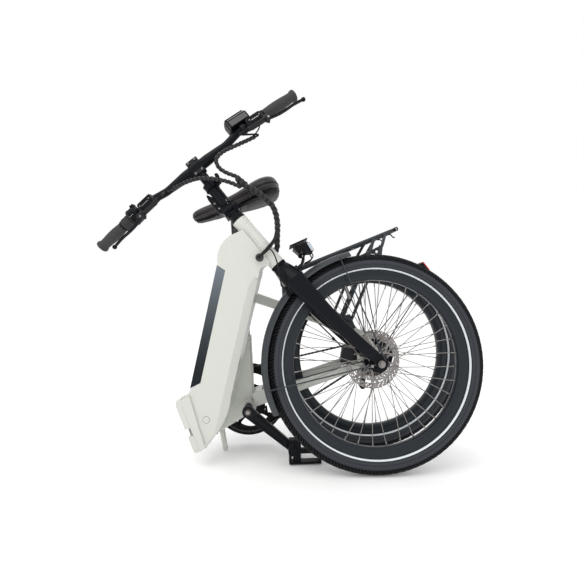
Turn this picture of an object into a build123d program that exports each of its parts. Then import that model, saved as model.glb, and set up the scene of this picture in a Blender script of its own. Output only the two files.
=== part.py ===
"""Folding electric bicycle with 24 inch wheels, folded and standing on both tyres and its support finger.

Each half is drawn in bicycle axes: X forward, Y to the rider's left, Z up, with the rear axle as the zero.
The front half is then folded back about the frame hinge, and the folded pair is tipped onto its support finger.
"""
import os
from math import asin, atan2, cos, degrees, hypot, radians, sin, tan

from build123d import *

# Wheels
WHEEL_R = 306.0
TYRE_W = 54.0
TYRE_BEAD_R = 256.0
RIM_OUTER_R = 259.5
RIM_INNER_R = 231.0
RIM_W = 30.0
RIM_WALL = 1.6
SPOKES = 36
SPOKE_R = 1.1
ROTOR_R = 80.0
ROTOR_T = 2.0
AXLE_R = 5.0
RUNNING_GAP = 0.3

# Rear half
BB_X = 425.0
BB_Z = -10.0
BB_SHELL_R = 24.0
BB_SHELL_W = 73.0
SEAT_ANGLE = 73.8
SEAT_TUBE_R = 20.0
SEAT_TUBE_LENGTH = 425.0
SEAT_POST_R = 16.5
SEAT_BORE_FOOT = 120.0
SEAT_STAY_TOP = 360.0
CASTING_HALF_W = 28.0
CASTING_BEVEL = 7.0
REAR_DROPOUT_GAP = 135.0
DROPOUT_T = 6.0
MOTOR_R = 62.0
MOTOR_W = 84.0
REAR_ROTOR_Y = 56.0
CHAIN_Y = -54.0
CHAINRING_R = 105.0
GUARD_R = 120.0
SPROCKET_R = 34.0
SPROCKET_PITCH = 4.8
CHAIN_HALF_H = 4.0
CHAIN_W = 7.0
CRANK_LENGTH = 170.0
CRANK_ANGLE = -120.0
LEFT_ARM_Y = 88.0
RIGHT_ARM_Y = -88.0
ARM_T = 14.0
PEDAL_L = 94.0
PEDAL_W = 70.0
PEDAL_TURN = 159.5
PEDAL_T = 26.0

# Luggage rack
RACK_HALF_W = 58.0
RACK_TUBE_R = 6.0
RACK_LEG_R = 5.0
RACK_LEG_Y = 84.0
RACK_LEG_TOP = (-130.0, 347.0)
RACK_LEG_FOOT = (58.0, 150.0)
RACK_LEG_PITCH = 27.6

# Frame hinge
HINGE_FACE_X = 562.0
HINGE_PIN_X = 574.0
HINGE_PIN_Y = 45.0
HINGE_TOP_Z = 102.0
HINGE_BOTTOM_Z = -58.0
HINGE_RIGHT_Y = -44.0
HINGE_LEFT_Y = 33.0
HINGE_PLATE_T = 16.0
HINGE_BARREL_R = 8.5
HINGE_PIN_R = 4.0
FOLD_SPLAY = 10.4
STEER_AT_REST = 10.4
FINGER_R = 8.5

# Front half
WHEELBASE = 1133.0
HEAD_ANGLE = 70.5
HEAD_LOW_X = 977.0
HEAD_LOW_Z = 358.0
HEAD_LENGTH = 166.0
HEAD_R = 22.0
STEERER_R = 14.3
MAIN_TUBE_HALF_W = 37.0
MAIN_TUBE_ANGLE = 55.2
MAIN_TUBE_ROUND = 6.0
FACET_H = 20.0
FACET_W = 12.0
BATTERY_X = 614.0
BATTERY_Z = 117.0
BATTERY_L = 368.0
BATTERY_STRIP = 26.0
FRONT_DROPOUT_GAP = 100.0
FRONT_ROTOR_Y = 38.5
BLADE_Y = 48.0
CROWN_DEPTH = 61.0
CROWN_W = 120.0
CROWN_H = 63.0
LAMP_HALF_W = 28.0
FENDER_GAP = 14.0
FENDER_T = 2.0
FENDER_HALF_W = 29.0
FENDER_DEPTH = 17.0

# Handlepost and handlebar, measured along the steering axis from the bottom of the head tube
POST_BASE_Z = 178.0
POST_HINGE_Z = 205.0
POST_HINGE_Y = 24.0
POST_HINGE_R = 6.5
POST_LEAN = 2.4
POST_R = 17.5
POST_INNER_R = 14.0
BAR_CLAMP_Z = 156.0
BAR_TURN = -94.0
BAR_R = 15.9
BAR_END_R = 11.1
BAR_HALF = 362.0
BAR_KNEE = 160.0
BAR_RISE = 9.0
BAR_SWEEP = 42.0
LEFT_GRIP = 121.0
RIGHT_GRIP = 98.0
LEFT_PIVOT = 123.0
RIGHT_PIVOT = 166.0
LEVER_REACH = 112.0
SHIFTER_R = 25.0
DISPLAY_FROM_END = 192.0

# Folded stance
STANCE_PITCH = 20.5
SEAM = 0.3


def line_frame(point, direction):
    """Local frame with its Z along a line."""
    return Plane(origin=point, z_dir=direction).location


def turned(point, direction, angle):
    """Placement that turns things about a line."""
    frame = line_frame(point, direction)
    return frame * Rot(0, 0, angle) * frame.inverse()


def tube_between(start, end, radius):
    """Round bar from one point to another."""
    run = Vector(*end) - Vector(*start)
    plane = Plane(origin=start, z_dir=run)
    return plane.location * Cylinder(radius, run.length, align=(Align.CENTER, Align.CENTER, Align.MIN))


def bent_tube(points, radius, bend):
    """Round bar along straight runs joined by equal bends."""
    path = FilletPolyline(*points, radius=bend)
    start = Plane(origin=path @ 0, z_dir=path % 0)
    return sweep(start * Circle(radius), path=path)


def ring_y(outer, inner, width, y=0.0):
    """Flat ring about the Y axis."""
    ring = Cylinder(outer, width) - Cylinder(inner, width + 2)
    return Pos(0, y, 0) * Rot(90, 0, 0) * ring


def disc_y(radius, width, y=0.0):
    """Disc about the Y axis."""
    return Pos(0, y, 0) * Rot(90, 0, 0) * Cylinder(radius, width)


def side_plate(outline, y, thickness):
    """Plate cut to a side view outline, centred on y."""
    sketch = make_face(outline)
    return extrude(Plane.XZ.offset(-y) * sketch, amount=thickness / 2, both=True)


def side_polygon(points, y, thickness):
    """Plate cut to a side view polygon, centred on y."""
    return side_plate(Polyline(*points, close=True), y, thickness)


# ---------------------------------------------------------------- wheels


def tyre():
    """Balloon tyre: round tread, sidewalls narrowing to the beads."""
    half = TYRE_W / 2
    shoulder = WHEEL_R - half
    bead = RIM_W / 2 - RIM_WALL - SEAM
    flank = RIM_OUTER_R + SEAM
    bulge = (flank + shoulder) / 2 - 2
    crown = ThreePointArc((shoulder, half), (WHEEL_R, 0), (shoulder, -half))
    lower = ThreePointArc((shoulder, -half), (bulge, -half + 4), (flank, -bead))
    base = Polyline((flank, -bead), (TYRE_BEAD_R, -bead), (TYRE_BEAD_R, bead), (flank, bead))
    upper = ThreePointArc((flank, bead), (bulge, half - 4), (shoulder, half))
    section = make_face(crown + lower + base + upper)
    return Rot(90, 0, 0) * revolve(Plane.XZ * section, Axis.Z)


def rim():
    """Rim with a flat spoke bed, tapering walls and a well below the tyre beads."""
    half = RIM_W / 2
    seat = TYRE_BEAD_R - SEAM
    section = Polyline(
        (RIM_INNER_R, -half + 9),
        (RIM_INNER_R + 9, -half),
        (RIM_OUTER_R, -half),
        (RIM_OUTER_R, -half + RIM_WALL),
        (seat, -half + RIM_WALL),
        (seat, half - RIM_WALL),
        (RIM_OUTER_R, half - RIM_WALL),
        (RIM_OUTER_R, half),
        (RIM_INNER_R + 9, half),
        (RIM_INNER_R, half - 9),
        close=True,
    )
    return Rot(90, 0, 0) * revolve(Plane.XZ * make_face(section), Axis.Z)


def spokes(flange_r, flange_y, lean):
    """Crossed spokes from both hub flanges to the rim."""
    runs = []
    for index in range(SPOKES):
        side = 1 if index % 2 else -1
        lead = 1 if (index // 2) % 2 else -1
        rim_angle = radians(360 * (index + 0.5) / SPOKES)
        hub_angle = rim_angle + lead * radians(lean)
        hub_y = side * (flange_y + lead * 2.4)
        start = ((flange_r + 1) * cos(hub_angle), hub_y, (flange_r + 1) * sin(hub_angle))
        reach = RIM_INNER_R - 2 * SEAM
        end = (reach * cos(rim_angle), side * 2.5, reach * sin(rim_angle))
        runs.append(tube_between(start, end, SPOKE_R))
    return Compound(children=runs)


def rotor(y, bore):
    """Brake disc: slotted ring on six arms."""
    disc = ring_y(ROTOR_R, ROTOR_R - 16, ROTOR_T, y) + ring_y(bore + 9, bore, ROTOR_T, y)
    for index in range(6):
        arm = Pos(0, y, 0) * Rot(0, 60 * index, 0) * Pos((ROTOR_R - 16 + bore + 8) / 2, 0, 0)
        disc += arm * Box(ROTOR_R - 16 - bore - 4, ROTOR_T, 6)
    return disc


def front_hub():
    """Small hub with two flanges and a rotor seat on the left."""
    hub = disc_y(15, 84) + disc_y(26, 4, 30) + disc_y(26, 4, -30)
    return hub - disc_y(AXLE_R + RUNNING_GAP, 200)


def rear_motor():
    """Hub motor with flanges, a domed left cover and the freewheel's sprockets on the right."""
    motor = disc_y(MOTOR_R, MOTOR_W) + disc_y(MOTOR_R + 8, 5, 28) + disc_y(MOTOR_R + 8, 5, -28)
    motor += disc_y(22, REAR_DROPOUT_GAP - 5)
    for step in (-2, -1, 0, 1, 2):
        motor += disc_y(SPROCKET_R - CHAIN_HALF_H - SEAM + 4 * step, 2, CHAIN_Y + SPROCKET_PITCH * step)
    return motor - disc_y(AXLE_R + RUNNING_GAP, 200)


def axle(gap, radius=AXLE_R):
    """Axle across a pair of dropouts with a nut outside each."""
    length = gap + 2 * DROPOUT_T + 30
    shaft = disc_y(radius, length)
    for side in (-1, 1):
        seat = side * (gap / 2 + DROPOUT_T + SEAM)
        nut = extrude(RegularPolygon(9, 6), amount=9)
        shaft += Pos(0, seat, 0) * Rot(-90 * side, 0, 0) * nut
    return shaft


def fender(start, end):
    """Curved mudguard shell over an arc of the wheel."""
    inner = WHEEL_R + FENDER_GAP
    half, lip = FENDER_HALF_W, inner - FENDER_DEPTH
    inside = ThreePointArc((lip, half), (inner, 0), (lip, -half))
    outside = ThreePointArc((lip, half + FENDER_T), (inner + FENDER_T, 0), (lip, -half - FENDER_T))
    ends = Line((lip, half), (lip, half + FENDER_T)) + Line((lip, -half), (lip, -half - FENDER_T))
    section = make_face(inside + outside + ends)
    shell = revolve(Plane.XZ * section, Axis.Z, revolution_arc=end - start)
    return Rot(0, -start, 0) * Rot(90, 0, 0) * shell


def mudguard_wires(shell, runs, eye_y):
    """Mudguard with its wire stays, each running from an eye beside the axle to the edge of the shell."""
    edge = WHEEL_R + FENDER_GAP - 9
    for side in (-1, 1):
        for angle, eye in runs:
            top = (edge * cos(radians(angle)), side * (FENDER_HALF_W + 1), edge * sin(radians(angle)))
            shell += tube_between((eye[0], side * eye_y, eye[1]), top, 1.8)
    return shell


# ---------------------------------------------------------------- rear half


def seat_axis_point(distance):
    """Point on the seat tube's axis, measured up from the bottom bracket."""
    return (BB_X - distance * cos(radians(SEAT_ANGLE)), 0, BB_Z + distance * sin(radians(SEAT_ANGLE)))


def seat_frame(distance):
    """Local frame on the seat tube's axis with Z up along it and X forward."""
    along = Vector(-cos(radians(SEAT_ANGLE)), 0, sin(radians(SEAT_ANGLE)))
    across = Vector(sin(radians(SEAT_ANGLE)), 0, cos(radians(SEAT_ANGLE)))
    return Plane(origin=seat_axis_point(distance), x_dir=across, z_dir=along).location


def stay(front, rear, front_size, rear_size):
    """Tapered flat stay between two points."""
    run = Vector(*rear) - Vector(*front)
    first = Plane(origin=front, x_dir=(0, 1, 0), z_dir=run)
    last = Plane(origin=rear, x_dir=(0, 1, 0), z_dir=run)
    return loft([first * RectangleRounded(*front_size, 5), last * RectangleRounded(*rear_size, 5)])


def rear_casting():
    """Deep casting that joins the seat tube and bottom bracket to the hinge, its side edges bevelled."""
    front = HINGE_FACE_X - HINGE_PLATE_T - SEAM / 2
    outline = [
        (front, HINGE_TOP_Z - 6),
        (BB_X + 40, BB_Z + 125),
        (BB_X - 40, BB_Z + 200),
        (BB_X - 84, BB_Z + 205),
        (BB_X - 20, BB_Z),
        (BB_X + 28, BB_Z - 28),
        (front, HINGE_BOTTOM_Z + 4),
    ]
    body = side_polygon(outline, 0, 2 * CASTING_HALF_W)
    rims = [e for e in body.edges() if abs(abs(e.center().Y) - CASTING_HALF_W) < 0.1 and e.center().X < front - 1]
    return chamfer(rims, CASTING_BEVEL)


def rear_frame():
    """Seat tube, bottom bracket yoke and the casting that reaches forward to the hinge."""
    body = rear_casting()
    body += seat_frame(0) * Cylinder(SEAT_TUBE_R, SEAT_TUBE_LENGTH, align=(Align.CENTER, Align.CENTER, Align.MIN))
    body += Pos(BB_X, 0, BB_Z) * disc_y(BB_SHELL_R, BB_SHELL_W)
    bore = Cylinder(SEAT_POST_R + RUNNING_GAP / 3, SEAT_TUBE_LENGTH, align=(Align.CENTER, Align.CENTER, Align.MIN))
    body -= seat_frame(SEAT_BORE_FOOT) * bore
    body -= Pos(BB_X, 0, BB_Z) * disc_y(12 + RUNNING_GAP, 200)
    return body


def rear_stays():
    """Chainstays, seat stays, their bridges and the dropouts."""
    drop_y = REAR_DROPOUT_GAP / 2 + DROPOUT_T / 2
    top_x, _, top_z = seat_axis_point(SEAT_STAY_TOP)
    stays = []
    for side in (-1, 1):
        chain = stay((BB_X - 24, side * 31, 4), (44, side * drop_y, -9), (16, 44), (12, 24))
        seat = stay((top_x + 4, side * 32, top_z + 1), (20, side * drop_y, 82), (16, 31), (12, 25))
        outline = [(-16, -16), (2, -18), (18, -18), (60, -20), (60, 2), (38, 88), (8, 92), (-16, 14)]
        if side < 0:
            outline[1:3] = [(-4, -48), (16, -54), (24, -20)]
        plate = side_polygon(outline, side * drop_y, DROPOUT_T)
        stays.append(chain + seat + plate - disc_y(AXLE_R + 0.1, 400))
    whole = stays[0] + stays[1]
    whole += Pos(BB_X - 40, 0, 4) * Box(34, 84, 40)
    whole += Pos(top_x - 6, 0, top_z - 4) * Box(26, 70, 28)
    whole -= seat_frame(-60) * Cylinder(SEAT_TUBE_R, 900, align=(Align.CENTER, Align.CENTER, Align.MIN))
    whole -= rear_frame()
    return whole


def fold_lean():
    """Lean of the hinge axis that sets the folded front wheel on the floor beside the rear wheel."""
    reach = WHEELBASE - HINGE_PIN_X
    folded_x = HINGE_PIN_X - reach * cos(radians(FOLD_SPLAY)) + HINGE_PIN_Y * sin(radians(FOLD_SPLAY))
    rise = folded_x * tan(radians(STANCE_PITCH))
    gain = reach * (1 + cos(radians(FOLD_SPLAY))) - HINGE_PIN_Y * sin(radians(FOLD_SPLAY))
    return asin(rise / gain)


FOLD_AXIS = (sin(fold_lean()), 0, cos(fold_lean()))
def hinge_frame():
    """Frame on the hinge pin at the height of the wheel axles, Z along the pin."""
    lean = fold_lean()
    return Plane(origin=(HINGE_PIN_X, HINGE_PIN_Y, 0), x_dir=(cos(lean), 0, -sin(lean)), z_dir=FOLD_AXIS).location


def hinge_half(face, outward):
    """Hinge plate: a flat casting with a latch notch in its right edge."""
    height = HINGE_TOP_Z - HINGE_BOTTOM_Z
    width = HINGE_LEFT_Y - HINGE_RIGHT_Y
    centre = (face + outward * (HINGE_PLATE_T / 2 + SEAM / 2), (HINGE_LEFT_Y + HINGE_RIGHT_Y) / 2,
              (HINGE_TOP_Z + HINGE_BOTTOM_Z) / 2)
    outline = Plane(origin=centre, x_dir=(0, 1, 0), z_dir=(1, 0, 0)) * RectangleRounded(width, height, 16)
    plate = extrude(outline, amount=HINGE_PLATE_T / 2, both=True)
    return plate - Pos(face, HINGE_RIGHT_Y + 8, 7) * Box(4 * HINGE_PLATE_T, 24, 24)


def knuckle(face, outward, low, high):
    """Hinge barrel and the lug that joins it to its plate."""
    height = high - low
    barrel = hinge_frame() * Pos(0, 0, low) * Cylinder(
        HINGE_BARREL_R, height, align=(Align.CENTER, Align.CENTER, Align.MIN))
    lug_x = face + outward * (SEAM / 2 + HINGE_PLATE_T / 2)
    reach = HINGE_PIN_Y - HINGE_LEFT_Y + 8
    lug = Pos(lug_x, HINGE_LEFT_Y - 8 + reach / 2, low + height / 2) * Box(HINGE_PLATE_T, reach, height)
    bar_x = (lug_x + HINGE_PIN_X) / 2
    if outward < 0:
        lug += Pos(bar_x, HINGE_PIN_Y, low + height / 2) * Box(
            HINGE_PIN_X - lug_x, HINGE_BARREL_R, height)
    hole = hinge_frame() * Cylinder(HINGE_PIN_R + 0.05, 400)
    return barrel + lug - hole


def rear_hinge_plate():
    """Rear hinge half with two outer knuckles."""
    plate = hinge_half(HINGE_FACE_X, -1)
    for low, high in ((HINGE_BOTTOM_Z + 14, HINGE_BOTTOM_Z + 44), (HINGE_TOP_Z - 44, HINGE_TOP_Z - 14)):
        plate += knuckle(HINGE_FACE_X, -1, low, high)
    return plate


def front_hinge_plate():
    """Front hinge half with one long knuckle between the rear pair."""
    plate = hinge_half(HINGE_FACE_X, 1)
    return plate + knuckle(HINGE_FACE_X, 1, HINGE_BOTTOM_Z + 45, HINGE_TOP_Z - 45)


def hinge_pin():
    """Pin through the knuckles."""
    low = HINGE_BOTTOM_Z + 12
    length = HINGE_TOP_Z - HINGE_BOTTOM_Z - 24
    return hinge_frame() * Pos(0, 0, low) * Cylinder(HINGE_PIN_R, length, align=(Align.CENTER, Align.CENTER, Align.MIN))


def support_finger():
    """Round-ended foot below the hinge that the folded bicycle stands on."""
    tip = Vector(545, 0, FINGER_TIP_Z)
    top = Vector(529, 0, HINGE_BOTTOM_Z + 20)
    run = top - tip
    r = FINGER_R
    nose = ThreePointArc((0, 0), (r * sin(radians(45)), r - r * cos(radians(45))), (r, r))
    shank = Polyline((r, r), (r, run.length), (0, run.length), (0, 0))
    foot = revolve(Plane.XZ * make_face(nose + shank), Axis.Z)
    return Plane(origin=tip, z_dir=run).location * foot - rear_frame()


def floor_level(x):
    """Height of the floor in bicycle axes below a point of the folded bicycle."""
    return -(WHEEL_R / cos(radians(STANCE_PITCH))) + x * tan(radians(STANCE_PITCH))


# The foot's round tip just reaches the floor.
FINGER_TIP_Z = floor_level(545)


def rack_leg(side):
    """Hairpin leg from the tail of a rail down to the bolt eye on the seat stay."""
    y = side * RACK_LEG_Y
    run = Vector(*RACK_LEG_FOOT) - Vector(*RACK_LEG_TOP)
    slide = Vector(run.Y, -run.X).normalized() * RACK_LEG_PITCH
    far = Vector(*RACK_LEG_TOP) + slide - run.normalized() * 29
    low = Vector(*RACK_LEG_FOOT) + slide
    path = [(RACK_LEG_TOP[0], side * RACK_HALF_W, RACK_LEG_TOP[1]), (RACK_LEG_TOP[0] + 30, y, RACK_LEG_TOP[1] - 30),
            (RACK_LEG_FOOT[0], y, RACK_LEG_FOOT[1]), (low.X, y, low.Y),
            (far.X + 30, y, far.Y - 30), (far.X, side * RACK_HALF_W, far.Y)]
    leg = bent_tube(path, RACK_LEG_R, RACK_LEG_PITCH * 0.42)
    foot = ((RACK_LEG_FOOT[0] + low.X) / 2, (RACK_LEG_FOOT[1] + low.Y) / 2)
    eye = side_polygon([(foot[0] - 16, foot[1] + 12), (foot[0] + 12, foot[1] + 16), (foot[0] + 6, foot[1] - 34),
                        (foot[0] - 18, foot[1] - 34)], side * (RACK_LEG_Y - 2), 4)
    boss = Pos(foot[0] - 6, side * (RACK_LEG_Y - 7.9), foot[1] - 26) * Rot(90, 0, 0) * Cylinder(6, 9.8)
    return leg + eye + boss


def rack():
    """Luggage rack: two rails joined at the tail, cross bars, and legs down to the seat stays."""
    rail_y = RACK_HALF_W
    front_z, tail_z = 339, 351
    tail_x, front_x = -212, 158
    rails = bent_tube([(front_x, -rail_y, front_z), (tail_x, -rail_y, tail_z), (tail_x, rail_y, tail_z),
                       (front_x, rail_y, front_z)], RACK_TUBE_R, 24)
    for share in (0, 0.33, 0.64):
        x = front_x + share * (tail_x - front_x)
        z = front_z + share * (tail_z - front_z)
        rails += tube_between((x, -rail_y, z), (x, rail_y, z), 4)
    for side in (-1, 1):
        rails += rack_leg(side)
    for side in (-1, 1):
        knee = (front_x + 26, side * rail_y, front_z - 26)
        rails += bent_tube([(front_x, side * rail_y, front_z), knee, (206, side * 48, 246)], 5, 12)
    return rails - rear_stays()


def rear_reflector():
    """Red reflector on the tail of the rear mudguard."""
    angle = radians(146)
    distance = WHEEL_R + FENDER_GAP + FENDER_T + 8.3
    place = Pos(distance * cos(angle), 0, distance * sin(angle)) * Rot(0, -146, 0)
    return place * Box(16, 46, 34)


def derailleur():
    """Rear mech: pivot on the hanger, link, cage and two guide wheels."""
    outer = -(REAR_DROPOUT_GAP / 2 + DROPOUT_T) - SEAM
    pivot, knee, low = (8, -42), (24, -74), (50, -108)
    mech = Pos(pivot[0], outer - 9, pivot[1]) * disc_y(11, 18)
    mech += side_polygon([(0, -38), (16, -36), (34, -72), (18, -80)], outer - 14, 10)
    mech += Pos(knee[0], (outer + CHAIN_Y - 19) / 2, knee[1]) * disc_y(10, CHAIN_Y - outer + 11)
    mech += side_polygon([(14, -58), (34, -66), (62, -104), (50, -120), (38, -106)], CHAIN_Y - 6, 3)
    for x, z in ((22, -66), low):
        mech += Pos(x, CHAIN_Y, z) * disc_y(11, 9)
    return mech


def caliper(rotor_y, angle):
    """Brake caliper reaching over the rotor's rim, its slot facing the axle."""
    block = Pos(0, 1.5, 0) * Box(36, 18, 46)
    block = fillet(block.edges().filter_by(Axis.Y), 6)
    block -= Pos(-10, 0, 0) * Box(36, ROTOR_T + 2, 60)
    return Pos(0, rotor_y, 0) * Rot(0, -angle, 0) * Pos(ROTOR_R - 4, 0, 0) * block


def rear_caliper():
    """Caliper straddling the rear rotor above the chainstay."""
    return caliper(REAR_ROTOR_Y, 24)


def chain():
    """Chain loop round the chainring and the sprocket."""
    spacing = hypot(BB_X, BB_Z)
    tilt = degrees(atan2(BB_Z, BB_X))
    lean = degrees(asin((CHAINRING_R - SPROCKET_R) / spacing))
    loops = []
    for grow in (CHAIN_HALF_H, -CHAIN_HALF_H):
        small = SPROCKET_R + grow
        large = CHAINRING_R + grow
        up = radians(90 + lean)
        a = (small * cos(up), small * sin(up))
        b = (spacing + large * cos(up), large * sin(up))
        c = (spacing + large * cos(up), -large * sin(up))
        d = (small * cos(up), -small * sin(up))
        outline = (Line(a, b) + ThreePointArc(b, (spacing + large, 0), c) + Line(c, d)
                   + ThreePointArc(d, (-small, 0), a))
        loops.append(make_face(outline))
    band = extrude(Plane.XZ * (loops[0] - loops[1]), amount=CHAIN_W / 2, both=True)
    return Pos(0, CHAIN_Y, 0) * Rot(0, -tilt, 0) * band


# ---------------------------------------------------------------- cranks, pedals and saddle


def crank_end(side):
    """Pedal axle position: the left arm points along CRANK_ANGLE, the right arm opposite."""
    angle = radians(CRANK_ANGLE)
    y = LEFT_ARM_Y if side > 0 else RIGHT_ARM_Y
    return (BB_X + side * CRANK_LENGTH * cos(angle), y, BB_Z + side * CRANK_LENGTH * sin(angle))


def crank_arm(side):
    """Forged arm tapering from a round boss at the spindle to the pedal eye."""
    big, small = 17, 12
    arm = make_face(Polyline((0, -big), (CRANK_LENGTH, -small), (CRANK_LENGTH, small), (0, big), close=True))
    shape = arm + Circle(big) + Pos(CRANK_LENGTH, 0) * Circle(small)
    y = LEFT_ARM_Y if side > 0 else RIGHT_ARM_Y
    angle = CRANK_ANGLE if side > 0 else CRANK_ANGLE + 180
    solid = extrude(Plane.XZ * shape, amount=ARM_T / 2, both=True)
    return Pos(BB_X, y, BB_Z) * Rot(0, -angle, 0) * solid


def crankset():
    """Spindle, both crank arms and the pedal spindles screwed into their eyes."""
    spindle = Pos(BB_X, (LEFT_ARM_Y + RIGHT_ARM_Y) / 2, BB_Z) * disc_y(12, LEFT_ARM_Y - RIGHT_ARM_Y)
    for side in (-1, 1):
        spindle += crank_arm(side) + pedal_axle(side)
    return spindle


def chainring():
    """Chainring and guard on a five-armed spider."""
    ring = ring_y(CHAINRING_R - CHAIN_HALF_H - SEAM, CHAINRING_R - 16, 3, CHAIN_Y)
    guard = disc_y(GUARD_R, 3, CHAIN_Y - 10)
    whole = guard + ring_y(30, 12.2, 16, CHAIN_Y - 10)
    leaf = Pos(30, 0) * Circle(62) & Pos(114, 0) * Circle(62)
    for index in range(5):
        opening = Pos(0, CHAIN_Y - 10, 0) * Rot(0, 72 * index + 10, 0) * extrude(Plane.XZ * leaf, amount=10, both=True)
        bridge = Pos(0, CHAIN_Y - 4.5, 0) * Rot(0, 72 * index + 46, 0) * Pos(CHAINRING_R - 12, 0, 0) * Box(12, 9, 16)
        whole = whole - opening + bridge
    return Pos(BB_X, 0, BB_Z) * (ring + whole - disc_y(12.2, 200))


def pedal(side):
    """Folding pedal, folded flat beside the crank: an open cage round a core on the spindle block."""
    x, y, z = crank_end(side)
    cage = Box(PEDAL_L, PEDAL_T, PEDAL_W) - Box(PEDAL_L - 14, PEDAL_T + 2, PEDAL_W - 14)
    core = Pos(-24, 0, 0) * Box(22, 20, PEDAL_W - 4) + Box(PEDAL_L - 4, 12, 14)
    body = Pos(37, 0, PEDAL_W / 2 - 34) * (cage + core)
    body += disc_y(13, PEDAL_T)
    centre = y + side * (ARM_T / 2 + 6 + PEDAL_T / 2)
    return Pos(x, centre, z) * Rot(0, PEDAL_TURN, 0) * (body - disc_y(6, 200))


def pedal_axle(side):
    """Pedal spindle standing out of a crank's eye."""
    x, y, z = crank_end(side)
    length = PEDAL_T + 6 + ARM_T / 2
    start = y
    return Pos(x, start + side * length / 2, z) * disc_y(5.7, length)


def seat_clamp():
    """Collar round the top of the seat tube with its lever."""
    collar = Cylinder(SEAT_TUBE_R + 5, 18) - Cylinder(SEAT_TUBE_R + 0.1, 20)
    lever = Pos(-SEAT_TUBE_R - 8, 0, 0) * Box(14, 16, 14) + Pos(-SEAT_TUBE_R - 10, 30, 0) * Box(8, 56, 12)
    return seat_frame(SEAT_TUBE_LENGTH - 12) * (collar + lever)


def seat_post():
    """Seat post with the saddle's rail clamp."""
    post = seat_frame(250) * Cylinder(SEAT_POST_R, 362, align=(Align.CENTER, Align.CENTER, Align.MIN))
    head = Pos(seat_axis_point(612)[0], 0, 578) * Box(44, 56, 16)
    return post + head


SADDLE_NOSE_X = 379.0
SADDLE_TAIL_X = 102.0
SADDLE_TOP_Z = 645.0
SADDLE_FOOT_Z = 597.0


def saddle():
    """Padded saddle: crowned, with a wide tail and a slim nose, flat underneath."""
    sections = ((SADDLE_TAIL_X, 44, 640, 600), (SADDLE_TAIL_X + 14, 84, SADDLE_TOP_Z, 574), (SADDLE_TAIL_X + 52, 100, SADDLE_TOP_Z + 2, 566),
                (200, 80, 638, 570), (252, 48, 633, 578), (312, 29, 632, 584), (362, 22, 634, 590), (SADDLE_NOSE_X, 12, 628, 600))
    slices = []
    for x, half, top, low in sections:
        plane = Plane(origin=(x, 0, (top + low) / 2), x_dir=(0, 1, 0), z_dir=(1, 0, 0))
        slices.append(plane * Ellipse(half, (top - low) / 2))
    pad = loft(slices)
    return pad - Pos(240, 0, SADDLE_FOOT_Z - 50) * Box(400, 300, 100)


def saddle_rails():
    """Two rails from the nose to the tail and the rear elastomer springs."""
    rails = []
    for side in (-1, 1):
        rails.append(bent_tube([(350, side * 8, SADDLE_TOP_Z - 51.8), (310, side * 20, 590), (190, side * 22, 590),
                                (140, side * 46, SADDLE_TOP_Z - 51.8)], 3.5, 12))
    bridge = rails[0] + rails[1]
    return bridge


# ---------------------------------------------------------------- front half


def steer_plane():
    """Frame on the steering axis at the bottom of the head tube: Z up the axis, X forward."""
    angle = radians(HEAD_ANGLE)
    return Plane(origin=(HEAD_LOW_X, 0, HEAD_LOW_Z), x_dir=(sin(angle), 0, cos(angle)), z_dir=(-cos(angle), 0, sin(angle)))


def lower_facet(low, high, side):
    """Block that planes one long facet along the main tube's lower edge."""
    run = Vector(high[0] - low[0], 0, high[1] - low[1])
    along = run.normalized()
    out = Vector(along.Z, 0, -along.X)
    normal = out * FACET_W + Vector(0, side * FACET_H, 0)
    start = Vector(high[0], side * (MAIN_TUBE_HALF_W - FACET_W), high[1])
    length = run.length + 190
    return Plane(origin=start, x_dir=-along, z_dir=normal).location * Pos(length / 2 + 14, 0, 30) * Box(length, 160, 60)


def front_frame():
    """Deep main tube with bevelled sides and a shouldered gusset, the hinge casting and the head tube."""
    back = HINGE_FACE_X + HINGE_PLATE_T + SEAM / 2
    outline = (
        Polyline((back, HINGE_TOP_Z - 4), (614, 117), (824, 419))
        + ThreePointArc((824, 419), (850, 462), (905, 480))
        + Polyline((905, 480), (925, 482), (962, 372), (957, 362))
        + ThreePointArc((957, 362), (938, 366), (923, 352))
        + Line((923, 352), (716, 58))
        + ThreePointArc((716, 58), (672, 0), (613, -40))
        + Polyline((613, -40), (595, HINGE_BOTTOM_Z + 4), (back, HINGE_BOTTOM_Z + 4),
                   (back, HINGE_TOP_Z - 4))
    )
    body = side_plate(outline, 0, 2 * MAIN_TUBE_HALF_W)
    rims = [e for e in body.edges() if abs(abs(e.center().Y) - MAIN_TUBE_HALF_W) < 0.1 and e.center().X > back + 2]
    body = fillet(rims, MAIN_TUBE_ROUND)
    for side in (-1, 1):
        body -= lower_facet((716, 58), (923, 352), side)
    plan = Polyline((500, -60), (860, -60), (880, -MAIN_TUBE_HALF_W), (1000, -14), (1000, 14), (880, MAIN_TUBE_HALF_W),
                    (860, 60), (500, 60), close=True)
    body &= extrude(Pos(0, 0, -200) * make_face(plan), amount=900)
    body += side_polygon([(back, HINGE_TOP_Z - 2), (610, 104), (602, 17), (597, -46), (back, HINGE_BOTTOM_Z + 2)],
                         (HINGE_RIGHT_Y + HINGE_LEFT_Y) / 2 + 1, HINGE_LEFT_Y - HINGE_RIGHT_Y)
    frame = steer_plane().location
    body += frame * Cylinder(HEAD_R, HEAD_LENGTH, align=(Align.CENTER, Align.CENTER, Align.MIN))
    body -= frame * Pos(0, 0, -50) * Cylinder(STEERER_R + 2.5, 400, align=(Align.CENTER, Align.CENTER, Align.MIN))
    return body - battery_outline(0.4)


def along_tube(run, depth):
    """Side view point in the main tube: run up its top edge and depth below it."""
    angle = radians(MAIN_TUBE_ANGLE)
    return (BATTERY_X + run * cos(angle) + depth * sin(angle), BATTERY_Z + run * sin(angle) - depth * cos(angle))


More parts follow.
